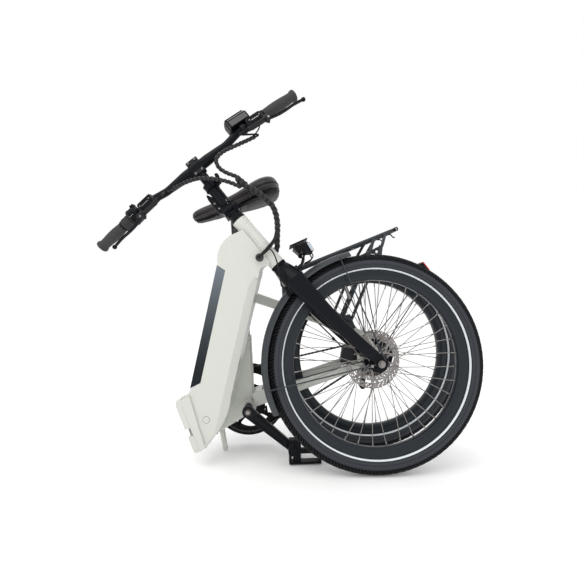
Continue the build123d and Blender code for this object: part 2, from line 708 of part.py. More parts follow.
def battery_outline(grow):
    """Battery with its cover strip, grown by a clearance to cut its bay."""
    strip = [along_tube(-grow, -9), along_tube(BATTERY_L + grow, -9), along_tube(BATTERY_L - 12 + grow, BATTERY_STRIP + grow),
             along_tube(30 - grow, BATTERY_STRIP + grow)]
    cells = [along_tube(40 - grow, 10), along_tube(BATTERY_L - 24 + grow, 10), along_tube(BATTERY_L - 24 + grow, 90 + grow),
             along_tube(40 - grow, 90 + grow)]
    cover = side_polygon(strip, 0, 2 * MAIN_TUBE_HALF_W + 2 * grow)
    return cover + side_polygon(cells, 0, 48 + 2 * grow)


def battery():
    """Battery pack seated in the main tube under its cover strip."""
    above = side_polygon([along_tube(-60, 0), along_tube(BATTERY_L + 60, 0), along_tube(BATTERY_L + 60, -60),
                          along_tube(-60, -60)], 0, 200)
    return battery_outline(0) - above


def frame_latch():
    """Latch hook with its spring in the hinge's notch."""
    return Pos(HINGE_FACE_X + HINGE_PLATE_T - 4 + SEAM / 2, HINGE_RIGHT_Y + 11, 7) * Box(8, 16, 16)


def fork_axle_point():
    """Front axle in the steering frame."""
    point = steer_plane().to_local_coords(Vector(WHEELBASE, 0, 0))
    return point.X, point.Z


def fork_crown():
    """Crown that swells from the round race to the width of both blades."""
    half_h = CROWN_H / 2
    race = Plane(origin=(0, 0, -7.8)) * RectangleRounded(43, 43, 21)
    waist = Plane(origin=(2, 0, -half_h)) * RectangleRounded(0.85 * CROWN_DEPTH, 0.7 * CROWN_W, 25)
    base = Plane(origin=(3, 0, -CROWN_H)) * RectangleRounded(CROWN_DEPTH, CROWN_W, 28)
    return loft([race, waist, base])


def fork_blade(side):
    """Blade of the fork, deep below the crown and slim at the dropout, with its dropout plate."""
    ax, az = fork_axle_point()
    sections = ((3, BLADE_Y, -CROWN_H + 2, CROWN_DEPTH - 1, 27), (5, BLADE_Y + 2.5, -130, 49, 25), (ax, 57, az + 28, 33, 19))
    slices = []
    for x, y, z, depth, width in sections:
        slices.append(Plane(origin=(x, side * y, z)) * RectangleRounded(depth, width, width / 2 - 0.5))
    blade = loft(slices)
    plate_y = side * (FRONT_DROPOUT_GAP / 2 + DROPOUT_T / 2)
    blade += Pos(ax, plate_y, az + 22) * Box(26, DROPOUT_T, 44) + Pos(ax, 0, az) * disc_y(15, DROPOUT_T, plate_y)
    return blade


def fork():
    """Fork: steerer, crown and two blades."""
    ax, az = fork_axle_point()
    body = fork_crown() + Pos(0, 0, -30) * Cylinder(STEERER_R, HEAD_LENGTH + 40, align=(Align.CENTER, Align.CENTER, Align.MIN))
    for side in (-1, 1):
        body += fork_blade(side)
    return body - Pos(ax, 0, az) * disc_y(AXLE_R + 0.1, 300)


def headset():
    """Upper and lower bearing cups on the head tube."""
    low = Pos(0, 0, -3.8) * (Cylinder(HEAD_R + 1, 7) - Cylinder(STEERER_R + 0.2, 9))
    top = Pos(0, 0, HEAD_LENGTH + 4) * (Cylinder(HEAD_R, 8) - Cylinder(STEERER_R + 0.2, 9))
    return Compound(children=[low, top])


def hinge_barrel(low, high):
    """Barrel of the post's hinge between two places along its pin."""
    barrel = Cylinder(POST_HINGE_R, high - low)
    return Pos((low + high) / 2, -POST_HINGE_Y, 0) * Rot(0, 90, 0) * barrel


def post_hinge_hole():
    """Bore through the hinge's barrels."""
    return Pos(0, -POST_HINGE_Y, 0) * Rot(0, 90, 0) * Cylinder(2.6, 80)


def post_base():
    """Clamp on the steerer that carries the lower half of the handlepost's hinge and its pin."""
    foot = POST_BASE_Z - 3 - POST_HINGE_Z
    hinge = Pos(0, 1, -8.2) * Box(46, 42, 16)
    for low, high in ((-23, -9), (9, 23)):
        hinge += hinge_barrel(low, high) + Pos((low + high) / 2, -POST_HINGE_Y + 3, -6) * Box(high - low, 6, 10)
    hinge -= Pos(0, -POST_HINGE_Y, 0) * Rot(0, 90, 0) * Cylinder(POST_HINGE_R + 0.5, 17.2)
    hinge += Pos(0, -POST_HINGE_Y, 0) * Rot(0, 90, 0) * Cylinder(2.5, 52)
    base = Pos(0, 0, foot) * Cylinder(19, -foot - 12, align=(Align.CENTER, Align.CENTER, Align.MIN))
    base += Rot(0, POST_LEAN, 0) * hinge
    base -= Pos(0, 0, -100) * Cylinder(STEERER_R + 0.1, 184)
    return Pos(0, 0, POST_HINGE_Z) * base


def post_frame():
    """Frame at the handlepost's hinge: Z up the post, X forward."""
    return Pos(0, 0, POST_HINGE_Z) * Rot(0, POST_LEAN, 0)


def hand_post():
    """Outer handlepost: upper hinge half, tube, quick-release collar and the hinge's latch lever."""
    post = Pos(0, 2.75, 8.2) * Box(46, 38.5, 16)
    post += Pos(0, -POST_HINGE_Y + 4, 6) * Box(16.4, 8, 10) + hinge_barrel(-8.2, 8.2)
    post -= post_hinge_hole()
    post += Pos(0, 0, 14) * Cylinder(POST_R, 82, align=(Align.CENTER, Align.CENTER, Align.MIN))
    post += Pos(0, 0, 78) * Cylinder(POST_R + 4, 20, align=(Align.CENTER, Align.CENTER, Align.MIN))
    post += Pos(POST_R + 6, 0, 88) * Box(14, 16, 14)
    post += Pos(POST_R + 9, -24, 88) * Box(7, 44, 11)
    post += side_polygon([(-21, 2), (-30, 10), (-30, 70), (-26, 76), (-17, 60), (-17, 4)], 4, 16)
    return post - Pos(0, 0, 12) * Cylinder(POST_INNER_R + 1.4, 200, align=(Align.CENTER, Align.CENTER, Align.MIN))


def post_bushing():
    """Guide bushing at the foot of the telescopic tube."""
    return Pos(0, 0, 14) * (Cylinder(POST_INNER_R + 1.1, 12, align=(Align.CENTER, Align.CENTER, Align.MIN))
                            - Cylinder(POST_INNER_R - 3 + 0.1, 40))


def inner_post():
    """Telescopic tube with the bar clamp and its face plate at the top."""
    tube = Pos(0, 0, 27) * Cylinder(POST_INNER_R, BAR_CLAMP_Z - 27, align=(Align.CENTER, Align.CENTER, Align.MIN))
    tube += Pos(0, 0, 14) * Cylinder(POST_INNER_R - 3, 14, align=(Align.CENTER, Align.CENTER, Align.MIN))
    clamp = Pos(0, 0, BAR_CLAMP_Z) * disc_y(BAR_R + 6, 38)
    ears = Pos(4, 0, BAR_CLAMP_Z) * Box(20, 38, 50)
    ears = fillet(ears.edges().filter_by(Axis.Y), 5)
    return tube + clamp + ears - Pos(0, 0, BAR_CLAMP_Z) * disc_y(BAR_R, 80)


def bar_points():
    """Centreline of the handlebar from the rider's right end to the left end."""
    z = BAR_CLAMP_Z
    half = [(0, BAR_KNEE - 50, z), (-2, BAR_KNEE, z + BAR_RISE), (-BAR_SWEEP, BAR_HALF, z + BAR_RISE + 1)]
    return [(x, -y, h) for x, y, h in reversed(half)] + half


def handlebar():
    """Handlebar swept back a little, thick at the clamp and tapering to the grips."""
    bar = bent_tube(bar_points(), BAR_END_R, 60)
    for side in (-1, 1):
        cone = Cone(BAR_R - SEAM, BAR_END_R, 60, align=(Align.CENTER, Align.CENTER, Align.MIN))
        bar += Pos(0, side * 40, BAR_CLAMP_Z) * Rot(-90 * side, 0, 0) * cone
    return bar + tube_between((0, -40, BAR_CLAMP_Z), (0, 40, BAR_CLAMP_Z), BAR_R - SEAM)


def bar_end_frame(side, distance):
    """Frame on the grip's axis at a distance from the bar's end: Z outward, X forward."""
    end = Vector(-BAR_SWEEP, side * BAR_HALF, BAR_CLAMP_Z + BAR_RISE + 1)
    knee = Vector(-2, side * BAR_KNEE, BAR_CLAMP_Z + BAR_RISE)
    along = (end - knee).normalized()
    return Plane(origin=end - along * distance, x_dir=(1, 0, 0), z_dir=along).location


def bar_hole(length):
    """Bore for the bar through whatever it carries."""
    return Cylinder(BAR_END_R + 0.1, length)


def grip(side):
    """Grip swelling under the palm, with a flared end."""
    length = LEFT_GRIP if side > 0 else RIGHT_GRIP
    outline = Polyline((0, 0), (15.5, 0), (15.5, 8), (14.8, 0.2 * length), (16.6, 0.5 * length), (15.8, 0.8 * length),
                       (17.8, length - 6), (17, length + 3), (0, length + 3), close=True)
    body = revolve(Plane.XZ * make_face(outline), Axis.Z)
    bore = Cylinder(BAR_END_R + 0.1, length, align=(Align.CENTER, Align.CENTER, Align.MIN))
    return bar_end_frame(side, length) * (body - bore)


def grips():
    """Both grips."""
    return Compound(children=[grip(1), grip(-1)])


def brake_lever(side):
    """Hydraulic brake lever: bar clamp, reservoir, cylinder and blade."""
    distance = LEFT_PIVOT if side > 0 else RIGHT_PIVOT
    clamp = Pos(0, 0, -20) * Cylinder(16, 14) + Pos(18, side * 6, -20) * Box(16, 14, 14)
    body = Pos(31, side * 10, -34) * Box(20, 24, 52)
    body = fillet(body.edges().filter_by(Axis.Z), 5)
    cylinder = Pos(32, side * 25, -34) * Cylinder(9, 80)
    pivot = Pos(36, side * 31, -2) * Rot(45 * side, 0, 0) * Box(16, 14, 22)
    blade = bent_tube([(35, side * 32, 4), (46, side * 44, 34), (44, side * 42, 80), (52, side * 50, LEVER_REACH)], 5, 22)
    whole = clamp + body + cylinder + pivot + blade - Pos(0, 0, -20) * bar_hole(100)
    return bar_end_frame(side, distance) * whole


def shifter():
    """Twist shifter inboard of the right grip: a ribbed collar and its round housing."""
    collar = Pos(0, 0, -14) * Cylinder(17.5, 28)
    housing = Pos(0, 0, -43.5) * Cylinder(SHIFTER_R, 33)
    housing = fillet(housing.edges().filter_by(GeomType.CIRCLE), 4)
    return bar_end_frame(-1, RIGHT_GRIP + SEAM) * (collar + housing - bar_hole(200))


def display():
    """Display over the bar inboard of the left grip, hooded, on a clamp."""
    hood = side_polygon([(-24, 10), (-24, 30), (-8, 43), (20, 43), (26, 34), (22, 10)], 0, 66)
    hood = chamfer(hood.edges().filter_by(Axis.Y), 2)
    clamp = Rot(90, 0, 0) * Cylinder(16, 14) + Pos(0, 0, 10) * Box(24, 14, 14)
    whole = hood + clamp - Rot(90, 0, 0) * bar_hole(200)
    return bar_end_frame(1, DISPLAY_FROM_END) * Rot(90, 0, 0) * Rot(0, 0, 180) * whole


def headlight():
    """Wedge-shaped headlight on a wire bracket in front of the crown."""
    lamp = side_polygon([(59.6, 6.5), (103.9, -9.2), (97.9, -41), (66.7, -18.3)], 0, 2 * LAMP_HALF_W)
    lamp = chamfer(lamp.edges().filter_by(Axis.Y), 3)
    bracket = bent_tube([(20, 0, -44), (52, 0, -44), (80, 0, -26)], 3.2, 12) + Pos(28, 0, -44) * Box(20, 20, 16)
    return lamp + bracket - fork_crown()


def front_caliper():
    """Caliper over the front rotor, behind the left blade."""
    ax, az = fork_axle_point()
    return Pos(ax, 0, az) * caliper(FRONT_ROTOR_Y, 128) - fork_blade(1)


# ---------------------------------------------------------------- placement

FOLD_ANGLE = 180 - FOLD_SPLAY
REAR = Pos(0, 0, WHEEL_R) * Rot(0, -STANCE_PITCH, 0) * Rot(0, 0, 180)


FRONT = REAR * turned((HINGE_PIN_X, HINGE_PIN_Y, 0), FOLD_AXIS, FOLD_ANGLE)
STEER = FRONT * steer_plane().location * Rot(0, 0, STEER_AT_REST)
POST = STEER * post_frame()
BAR = POST * Rot(0, 0, BAR_TURN)


def nodes():
    """Every node with its placement and its body."""
    ax, az = fork_axle_point()
    front_axle_frame = STEER * Pos(ax, 0, az) * Rot(0, 90 - HEAD_ANGLE, 0)
    return {
        "rear_frame": (rear_frame(), REAR, "rear_half"),
        "rear_stays": (rear_stays(), REAR, "rear_half"),
        "rear_hinge_plate": (rear_hinge_plate(), REAR, "rear_half"),
        "hinge_pin": (hinge_pin(), REAR, "rear_half"),
        "support_finger": (support_finger(), REAR, "rear_half"),
        "luggage_rack": (rack(), REAR, "rear_half"),
        "rear_mudguard": (mudguard_wires(fender(12, 158), ((104, (-15, 6)), (148, (-15, 6))), 76.9), REAR, "rear_half"),
        "rear_reflector": (rear_reflector(), REAR, "rear_half"),
        "rear_axle": (axle(REAR_DROPOUT_GAP), REAR, "rear_half"),
        "derailleur": (derailleur(), REAR, "rear_half"),
        "rear_caliper": (rear_caliper(), REAR, "rear_half"),
        "chain": (chain(), REAR, "rear_half"),
        "seat_clamp": (seat_clamp(), REAR, "rear_half"),
        "seat_post": (seat_post(), REAR, "saddle"),
        "saddle_pad": (saddle(), REAR, "saddle"),
        "saddle_rails": (saddle_rails(), REAR, "saddle"),
        "rear_tyre": (tyre(), REAR, "rear_wheel"),
        "rear_rim": (rim(), REAR, "rear_wheel"),
        "rear_spokes": (spokes(MOTOR_R + 8, 28, 10), REAR, "rear_wheel"),
        "rear_motor": (rear_motor(), REAR, "rear_wheel"),
        "rear_rotor": (rotor(REAR_ROTOR_Y, 22.2), REAR, "rear_wheel"),
        "crankset": (crankset(), REAR, "cranks"),
        "chainring": (chainring(), REAR, "cranks"),
        "pedal_left": (pedal(1), REAR, "left_pedal"),
        "pedal_right": (pedal(-1), REAR, "right_pedal"),
        "front_frame": (front_frame(), FRONT, "front_half"),
        "front_hinge_plate": (front_hinge_plate(), FRONT, "front_half"),
        "frame_latch": (frame_latch(), FRONT, "front_half"),
        "battery": (battery(), FRONT, "front_half"),
        "headset": (headset(), FRONT * steer_plane().location, "front_half"),
        "fork": (fork(), STEER, "steering"),
        "front_axle": (axle(FRONT_DROPOUT_GAP), front_axle_frame, "steering"),
        "front_mudguard": (mudguard_wires(fender(82, 185), ((88, (14, 4)), (172, (-14, 4))), 58), front_axle_frame, "steering"),
        "headlight": (headlight(), STEER, "steering"),
        "front_caliper": (front_caliper(), STEER, "steering"),
        "handlepost_base": (post_base(), STEER, "steering"),
        "front_tyre": (tyre(), front_axle_frame, "front_wheel"),
        "front_rim": (rim(), front_axle_frame, "front_wheel"),
        "front_spokes": (spokes(26, 30, 40), front_axle_frame, "front_wheel"),
        "front_hub": (front_hub(), front_axle_frame, "front_wheel"),
        "front_rotor": (rotor(FRONT_ROTOR_Y, 15.2), front_axle_frame, "front_wheel"),
        "handlepost": (hand_post(), POST, "handlepost"),
        "post_bushing": (post_bushing(), POST, "post_slide"),
        "inner_post": (inner_post(), BAR, "handlebar"),
        "handlebar": (handlebar(), BAR, "handlebar"),
        "grips": (grips(), BAR, "handlebar"),
        "brake_lever_left": (brake_lever(1), BAR, "handlebar"),
        "brake_lever_right": (brake_lever(-1), BAR, "handlebar"),
        "shifter": (shifter(), BAR, "handlebar"),
        "display": (display(), BAR, "handlebar"),
    }


def centring(shapes):
    """Shift that puts the zero on the floor below the middle of the folded bicycle."""
    boxes = [shape.bounding_box() for shape in shapes]
    low_x, high_x = min(b.min.X for b in boxes), max(b.max.X for b in boxes)
    low_y, high_y = min(b.min.Y for b in boxes), max(b.max.Y for b in boxes)
    return Pos(-(low_x + high_x) / 2, -(low_y + high_y) / 2, -min(b.min.Z for b in boxes))


NODES = nodes()
PLACED = {name: shape.moved(place) for name, (shape, place, _) in NODES.items()}
SHIFT = centring(PLACED.values())


def write_parts():
    """Write one STEP file per node."""
    os.makedirs("parts", exist_ok=True)
    for name, shape in PLACED.items():
        export_step(shape.moved(SHIFT), f"parts/{name}.step")


write_parts()
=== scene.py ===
from math import atan2, cos, hypot, pi, radians, sin

import bmesh
import bpy
from mathutils import Matrix, Vector


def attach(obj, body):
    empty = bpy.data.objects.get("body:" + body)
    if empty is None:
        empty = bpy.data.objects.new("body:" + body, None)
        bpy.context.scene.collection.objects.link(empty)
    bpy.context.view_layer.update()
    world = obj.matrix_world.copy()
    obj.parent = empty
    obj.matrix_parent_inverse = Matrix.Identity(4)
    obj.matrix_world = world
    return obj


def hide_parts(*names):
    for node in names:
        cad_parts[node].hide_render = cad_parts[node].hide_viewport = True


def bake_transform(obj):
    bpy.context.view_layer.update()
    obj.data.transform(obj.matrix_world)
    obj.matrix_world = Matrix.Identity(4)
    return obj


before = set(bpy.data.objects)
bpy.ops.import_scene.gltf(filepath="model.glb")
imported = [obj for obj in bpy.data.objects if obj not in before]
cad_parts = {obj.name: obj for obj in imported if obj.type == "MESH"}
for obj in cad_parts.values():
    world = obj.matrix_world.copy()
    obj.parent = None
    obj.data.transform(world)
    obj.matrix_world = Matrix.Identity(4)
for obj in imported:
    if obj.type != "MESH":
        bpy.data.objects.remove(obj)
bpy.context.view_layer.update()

MM = 0.001

# ---------------------------------------------------------------- frames of the folded bicycle


def placed(x_axis, y_axis, z_axis, origin):
    """Matrix of a local frame: its axes in the row frame and its origin in millimetres."""
    rows = [(*axes, start * MM) for *axes, start in zip(x_axis, y_axis, z_axis, origin)]
    return Matrix((*rows, (0, 0, 0, 1)))


def shifted(base, offset, turn=0.0, about="Z"):
    """Frame moved by an offset in millimetres within another and turned about an axis, in degrees."""
    return base @ Matrix.Translation(Vector(offset) * MM) @ Matrix.Rotation(radians(turn), 4, about)


REAR = placed((-0.936672, 0, -0.350207), (0, -1, 0), (-0.350207, 0, 0.936672), (266.3316, 64.6853, 306.1248))
FRONT = placed((0.913438, -0.180508, 0.364758), (0.168383, 0.983571, 0.065071), (-0.370512, 0.001981, 0.928826),
               (-803.2086, 79.0364, -107.1938))
AXLE_LINE = (0.032509, 0.998010, -0.054037)  # of the front axle, across the fork, post and wheel
STEER = placed((0.755647, 0.010845, 0.654889), AXLE_LINE, (-0.654171, 0.062122, 0.753791),
    (-43.4234, -96.6110, 581.6948))
POST = placed((0.782378, 0.008234, 0.622749), AXLE_LINE, (-0.621954, 0.062522, 0.780553),
    (-177.5286, -83.8759, 736.2219))
BAR_TURN = -94  # the bar is turned alongside the folded frame
BAR = shifted(POST, (0, 0, 0), BAR_TURN)
WHEEL = placed((0.930671, -0.010514, 0.365705), AXLE_LINE, (-0.364409, 0.062179, 0.929161),
    (232.2197, -120.5113, 306.1052))
BAR_HALF, BAR_KNEE, CLAMP_Z, BAR_RISE, BAR_SWEEP = 362, 160, 156, 9, 42
BB_X, BB_Z = 425, -10  # bottom bracket
BOTH = (-1, 1)  # sides


def bar_end(side, distance):
    """Frame on the grip's axis at a distance from the bar's end: Z outward, X forward."""
    end = Vector((-BAR_SWEEP, side * BAR_HALF, CLAMP_Z + BAR_RISE + 1))
    knee = Vector((-2, side * BAR_KNEE, CLAMP_Z + BAR_RISE))
    along = (end - knee).normalized()
    across = Vector((1, 0, 0))
    across = (across - along * across.dot(along)).normalized()
    up = along.cross(across)
    return BAR @ placed(across, up, along, end - along * distance)


# ---------------------------------------------------------------- finishes


COAT_ROUGH, SHEEN_SPREAD, RELIEF_DEPTH = 0.12, 0.12, 0.0004
WHITE = (1, 1, 1, 1)


def linear(*shown):
    """Colour from 0 to 255 as it shows, for a shader."""
    shares = [tone / 255 for tone in shown]
    return (*(c / 12.92 if c <= 0.04045 else ((c + 0.055) / 1.055) ** 2.4 for c in shares), 1)


def tune(node, values):
    """Set inputs of a shader node."""
    for name, value in values.items():
        node.inputs[name].default_value = value


def add(tree, kind, values=None, **settings):
    """New shader node with its settings and inputs."""
    node = tree.nodes.new("ShaderNode" + kind)
    for name, value in settings.items():
        setattr(node, name, value)
    tune(node, values or {})
    return node


def finish(name, shown, rough, metal=0.0, coat=0.0, mottle=0.0, grain=0.0, grain_size=900.0, specular=0.5,
           stretch=(1, 1, 1), painted_light_top=None):
    """Procedural finish: a colour, which may lighten up the piece into a painted light at its top, a fine
    mottle and a fine relief.
    """
    material = bpy.data.materials.new(name)
    material.use_nodes = True
    tree = material.node_tree
    link = tree.links.new
    shader = tree.nodes["Principled BSDF"]
    tune(shader, {"Metallic": metal, "Specular IOR Level": specular, "Coat Weight": coat,
        "Coat Roughness": COAT_ROUGH})
    where = add(tree, "TexCoord")
    place = add(tree, "Mapping", {"Scale": stretch})
    link(where.outputs["Object"], place.inputs["Vector"])
    noise = add(tree, "TexNoise", {"Scale": grain_size, "Detail": 3})
    link(place.outputs["Vector"], noise.inputs["Vector"])
    tone = add(tree, "MapRange", {"To Min": 1 - mottle, "To Max": 1 + mottle})
    link(noise.outputs["Fac"], tone.inputs["Value"])
    mix = add(tree, "VectorMath", {0: linear(*shown)[:3]}, operation="SCALE")
    # painted light and shade: the colour runs from its own dark tone at the foot to a lighter painted light at
    # the top
    if painted_light_top:
        height = add(tree, "SeparateXYZ")
        link(where.outputs["Generated"], height.inputs["Vector"])
        curve = add(tree, "Math", {1: 2.0}, operation="POWER")
        link(height.outputs["Z"], curve.inputs[0])
        ramp = add(tree, "Mix", {"A": linear(*shown), "B": linear(*painted_light_top)}, data_type="RGBA")
        link(curve.outputs["Value"], ramp.inputs["Factor"])
        link(ramp.outputs["Result"], mix.inputs[0])
    link(tone.outputs["Result"], mix.inputs["Scale"])
    link(mix.outputs["Vector"], shader.inputs["Base Color"])
    sheen = add(tree, "MapRange", {"To Min": rough * (1 - SHEEN_SPREAD),
        "To Max": min(1, rough * (1 + SHEEN_SPREAD))})
    link(noise.outputs["Fac"], sheen.inputs["Value"])
    link(sheen.outputs["Result"], shader.inputs["Roughness"])
    if grain:
        relief = add(tree, "Bump", {"Strength": grain, "Distance": RELIEF_DEPTH})
        link(noise.outputs["Fac"], relief.inputs["Height"])
        link(relief.outputs["Normal"], shader.inputs["Normal"])
    return material


LOOKS = {
    "frame": finish("frame_paint", (203, 205, 198), 0.36, coat=0.2, mottle=0.012, grain=0.05, grain_size=600,
        specular=0.4),
    "black": finish("black_paint", (10, 13, 19), 0.34, coat=0.02, mottle=0.06, grain=0.06, specular=0.13),
    "satin": finish("satin_black", (54, 58, 62), 0.42, mottle=0.05, grain=0.06, specular=0.25),
    "rim": finish("rim_black", (26, 32, 38), 0.34, coat=0.06, mottle=0.06, grain=0.05, grain_size=800,
        specular=0.25),
    "alloy": finish("black_anodised", (34, 34, 37), 0.4, metal=0.1, mottle=0.05, grain=0.05, specular=0.2),
    # the slate cover is painted dark at its foot and light at its top: painted shade below, painted light from
    # above
    "slate": finish("slate_cover", (8, 16, 22), 0.42, mottle=0.2, grain=0.2, grain_size=260, specular=0.2,
        stretch=(6, 6, 0.35), painted_light_top=(112, 120, 128)),
    "steel": finish("steel", (140, 136, 134), 0.3, metal=1.0, mottle=0.08),
    "dark_steel": finish("dark_steel", (60, 58, 58), 0.36, metal=0.8, mottle=0.12),
    "plastic": finish("black_plastic", (9, 11, 15), 0.46, mottle=0.08, grain=0.25, grain_size=1400,
        specular=0.13),
    "gloss": finish("screen", (6, 7, 9), 0.1, coat=0.5, specular=0.4),
    "rubber": finish("rubber", (58, 58, 60), 0.72, mottle=0.06, grain=0.3, grain_size=1500, specular=0.3),
    "tyre": finish("tyre", (48, 51, 57), 0.6, mottle=0.05, grain=0.15, grain_size=700, specular=0.3),
    "tread": finish("tread", (7, 7, 9), 0.85, mottle=0.1, grain=0.35, specular=0.08),
    "block": finish("tread_block", (31, 32, 36), 0.75, mottle=0.1, grain=0.3, specular=0.2),
    "stripe": finish("reflective_stripe", (226, 232, 236), 0.35, mottle=0.02),
    "cover": finish("saddle_cover", (38, 34, 34), 0.38, coat=0.05, mottle=0.05, grain=0.2, grain_size=1300,
        specular=0.4),
    "hose": finish("hose", (14, 14, 17), 0.48, mottle=0.05, specular=0.3),
    "wrap": finish("spiral_wrap", (40, 40, 44), 0.4, mottle=0.08, specular=0.3),
    "red": finish("red_lens", (190, 22, 34), 0.18, coat=0.5),
    "lens": finish("lamp_lens", (176, 184, 194), 0.12, coat=0.6, mottle=0.04),
    # white of the shifter's window marks, partly a painted highlight
    "white": finish("white_marks_and_painted_highlight", (232, 234, 230), 0.4, mottle=0.01),
}
NODE_LOOK = {
    "frame": ("rear_frame", "rear_stays", "rear_hinge_plate", "support_finger", "front_frame",
        "front_hinge_plate"),
    "satin": ("luggage_rack", "rear_mudguard", "front_mudguard"),
    "black": ("fork", "handlepost_base", "handlepost", "inner_post", "handlebar",
              "crankset", "headset", "rear_motor", "front_hub"),
    "rim": ("rear_rim", "front_rim"),
    "alloy": ("seat_post", "seat_clamp", "rear_caliper", "front_caliper", "brake_lever_left",
        "brake_lever_right", "derailleur"),
    "slate": ("battery",),
    "steel": ("hinge_pin", "rear_axle", "front_axle", "frame_latch", "rear_spokes", "front_spokes",
        "rear_rotor", "front_rotor"),
    "dark_steel": ("chain", "saddle_rails"),
    "plastic": ("pedal_left", "pedal_right", "headlight", "post_bushing", "shifter", "display", "chainring"),
    "rubber": ("grips",),
    "tyre": ("rear_tyre", "front_tyre"),
    "cover": ("saddle_pad",),
    "red": ("rear_reflector",),
}
SLOTS = {
    "frame": "frame_paint",
    **dict.fromkeys(("black", "rim", "alloy", "satin"), "black_paint"),
    "slate": "slate_cover",
    **dict.fromkeys(("steel", "dark_steel"), "steel"),
    "plastic": "black_plastic",
    "rubber": "rubber",
    **dict.fromkeys(("tyre", "tread", "block"), "tyre"),
    "cover": "saddle_cover",
    "red": "red_lens",
}
for look, names in NODE_LOOK.items():
    for name in names:
        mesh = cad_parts[name].data
        mesh.materials.clear()
        mesh.materials.append(LOOKS[look])

# ---------------------------------------------------------------- mesh building


class Piece:
    """A mesh under construction, drawn in millimetres in a local frame."""

    def __init__(self, name, body, look, base=REAR):
        self.name, self.body, self.look, self.base = name, body, look, base
        self.verts, self.faces = [], []

    def put(self, verts, faces, base=None):
        start = len(self.verts)
        place = base or self.base
        self.verts += [place @ (Vector(v) * MM) for v in verts]
        self.faces += [tuple(start + i for i in face) for face in faces]

    def block(self, centre, size, turn=0.0, about="Y", taper=1.0):
        """Box about a centre; taper narrows its top."""
        spin = Matrix.Rotation(radians(turn), 3, about)
        corners = []
        for z in (-0.5, 0.5):
            grow = taper if z > 0 else 1.0
            for x, y in ((-0.5, -0.5), (0.5, -0.5), (0.5, 0.5), (-0.5, 0.5)):
                corner = Vector((x * size[0] * grow, y * size[1] * grow, z * size[2]))
                corners.append(Vector(centre) + spin @ corner)
        self.put(corners, [(3, 2, 1, 0), (4, 5, 6, 7), (0, 1, 5, 4), (1, 2, 6, 5), (2, 3, 7, 6), (3, 0, 4, 7)])

    def rod(self, a, b, radius, end_radius=None, sides=16):
        """Capped round rod between two points."""
        self.sweep([Vector(a), Vector(b)], [radius, radius if end_radius is None else end_radius], sides)

    def sweep(self, path, radius, sides=12):
        """Round tube along a path; radius is one number or one for each point."""
        path = [Vector(p) for p in path]
        radii = radius if isinstance(radius, list) else [radius] * len(path)
        verts = []
        for centre, normal, binormal, reach in zip(path, *frames_along(path), radii):
            for x, y in ring(reach, sides):
                verts.append(centre + normal * x + binormal * y)
        self.put(verts, skin(len(path), sides))

    def lathe(self, profile, sides=96, centre=(0, 0, 0), axis="Y", closed=True):
        """Turned form: profile is a list of (radius, distance along the axis)."""
        verts, faces, count = [], [], len(profile)
        for index in range(sides):
            angle, after = radians(360 * index / sides), (index + 1) % sides
            for radius, along in profile:
                across, up = radius * cos(angle), radius * sin(angle)
                point = {"Y": (across, along, up), "Z": (across, up, along), "X": (along, across, up)}[axis]
                verts.append(Vector(centre) + Vector(point))
            for spot in range(count if closed else count - 1):
                beyond = (spot + 1) % count
                faces.append((index * count + spot, index * count + beyond, after * count + beyond,
                    after * count + spot))
        self.put(verts, faces)

    def plate(self, outlines, thickness, base=None, bevel=0.4):
        """Flat plate centred on the local XY plane; its outline and holes are closed lists of (x, y)."""
        curve = bpy.data.curves.new(self.name + "_outline", "CURVE")
        curve.dimensions = "2D"
        curve.fill_mode = "BOTH"
        curve.extrude = thickness / 2 - bevel
        curve.bevel_depth = bevel
        curve.bevel_resolution = 1
        curve.offset = -bevel
        for outline in outlines:
            spline = curve.splines.new("POLY")
            spline.points.add(len(outline) - 1)
            for point, (x, y) in zip(spline.points, outline):
                point.co = (x, y, 0, 1)
            spline.use_cyclic_u = True
        holder = bpy.data.objects.new(curve.name, curve)
        mesh = bpy.data.meshes.new_from_object(holder)
        self.put([v.co for v in mesh.vertices], [tuple(p.vertices) for p in mesh.polygons], base)
        bpy.data.objects.remove(holder)
        bpy.data.meshes.remove(mesh)

    def done(self, bevel=0.0, smooth=38.0, stands_for=(), blend=None):
        """Make the object, give it its finish and hang it on its body."""
        mesh = bpy.data.meshes.new(self.name)
        mesh.from_pydata([tuple(v) for v in self.verts], [], self.faces)
        work = bmesh.new()
        work.from_mesh(mesh)
        bmesh.ops.recalc_face_normals(work, faces=work.faces)
        work.to_mesh(mesh)
        work.free()
        mesh.polygons.foreach_set("use_smooth", [True] * len(mesh.polygons))
        mesh.set_sharp_from_angle(angle=radians(smooth))
        mesh.materials.append(LOOKS[self.look])
        obj = bpy.data.objects.new(self.name, mesh)
        bpy.context.scene.collection.objects.link(obj)
        if bevel:
            edge = obj.modifiers.new("edge", "BEVEL")
            edge.width = bevel * MM
            edge.segments = 2
            edge.limit_method = "ANGLE"
            edge.angle_limit = radians(32)
        if blend:
            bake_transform(obj)
        else:
            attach(obj, self.body)
        if stands_for:
            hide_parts(*stands_for)
        return obj


def skin(rings, sides):
    """Faces between rings of points, with a cap at each end."""
    faces = []
    for low in range(0, (rings - 1) * sides, sides):
        for index in range(sides):
            after = (index + 1) % sides
            faces.append((low + index, low + after, low + sides + after, low + sides + index))
    return faces + [tuple(reversed(range(sides))), tuple(range((rings - 1) * sides, rings * sides))]


def frames_along(path):
    """Normals and binormals carried along a path without twist."""
    normals, binormals = [], []
    for index in range(len(path)):
        tangent = (path[min(len(path) - 1, index + 1)] - path[max(0, index - 1)]).normalized()
        guide = Vector((0, 0, 1)) if abs(tangent.z) < 0.9 else Vector((1, 0, 0))
        last = normals[-1] if normals else (guide - tangent * guide.dot(tangent)).normalized()
        normals.append((last - tangent * last.dot(tangent)).normalized())
        binormals.append(tangent.cross(normals[-1]))
    return normals, binormals


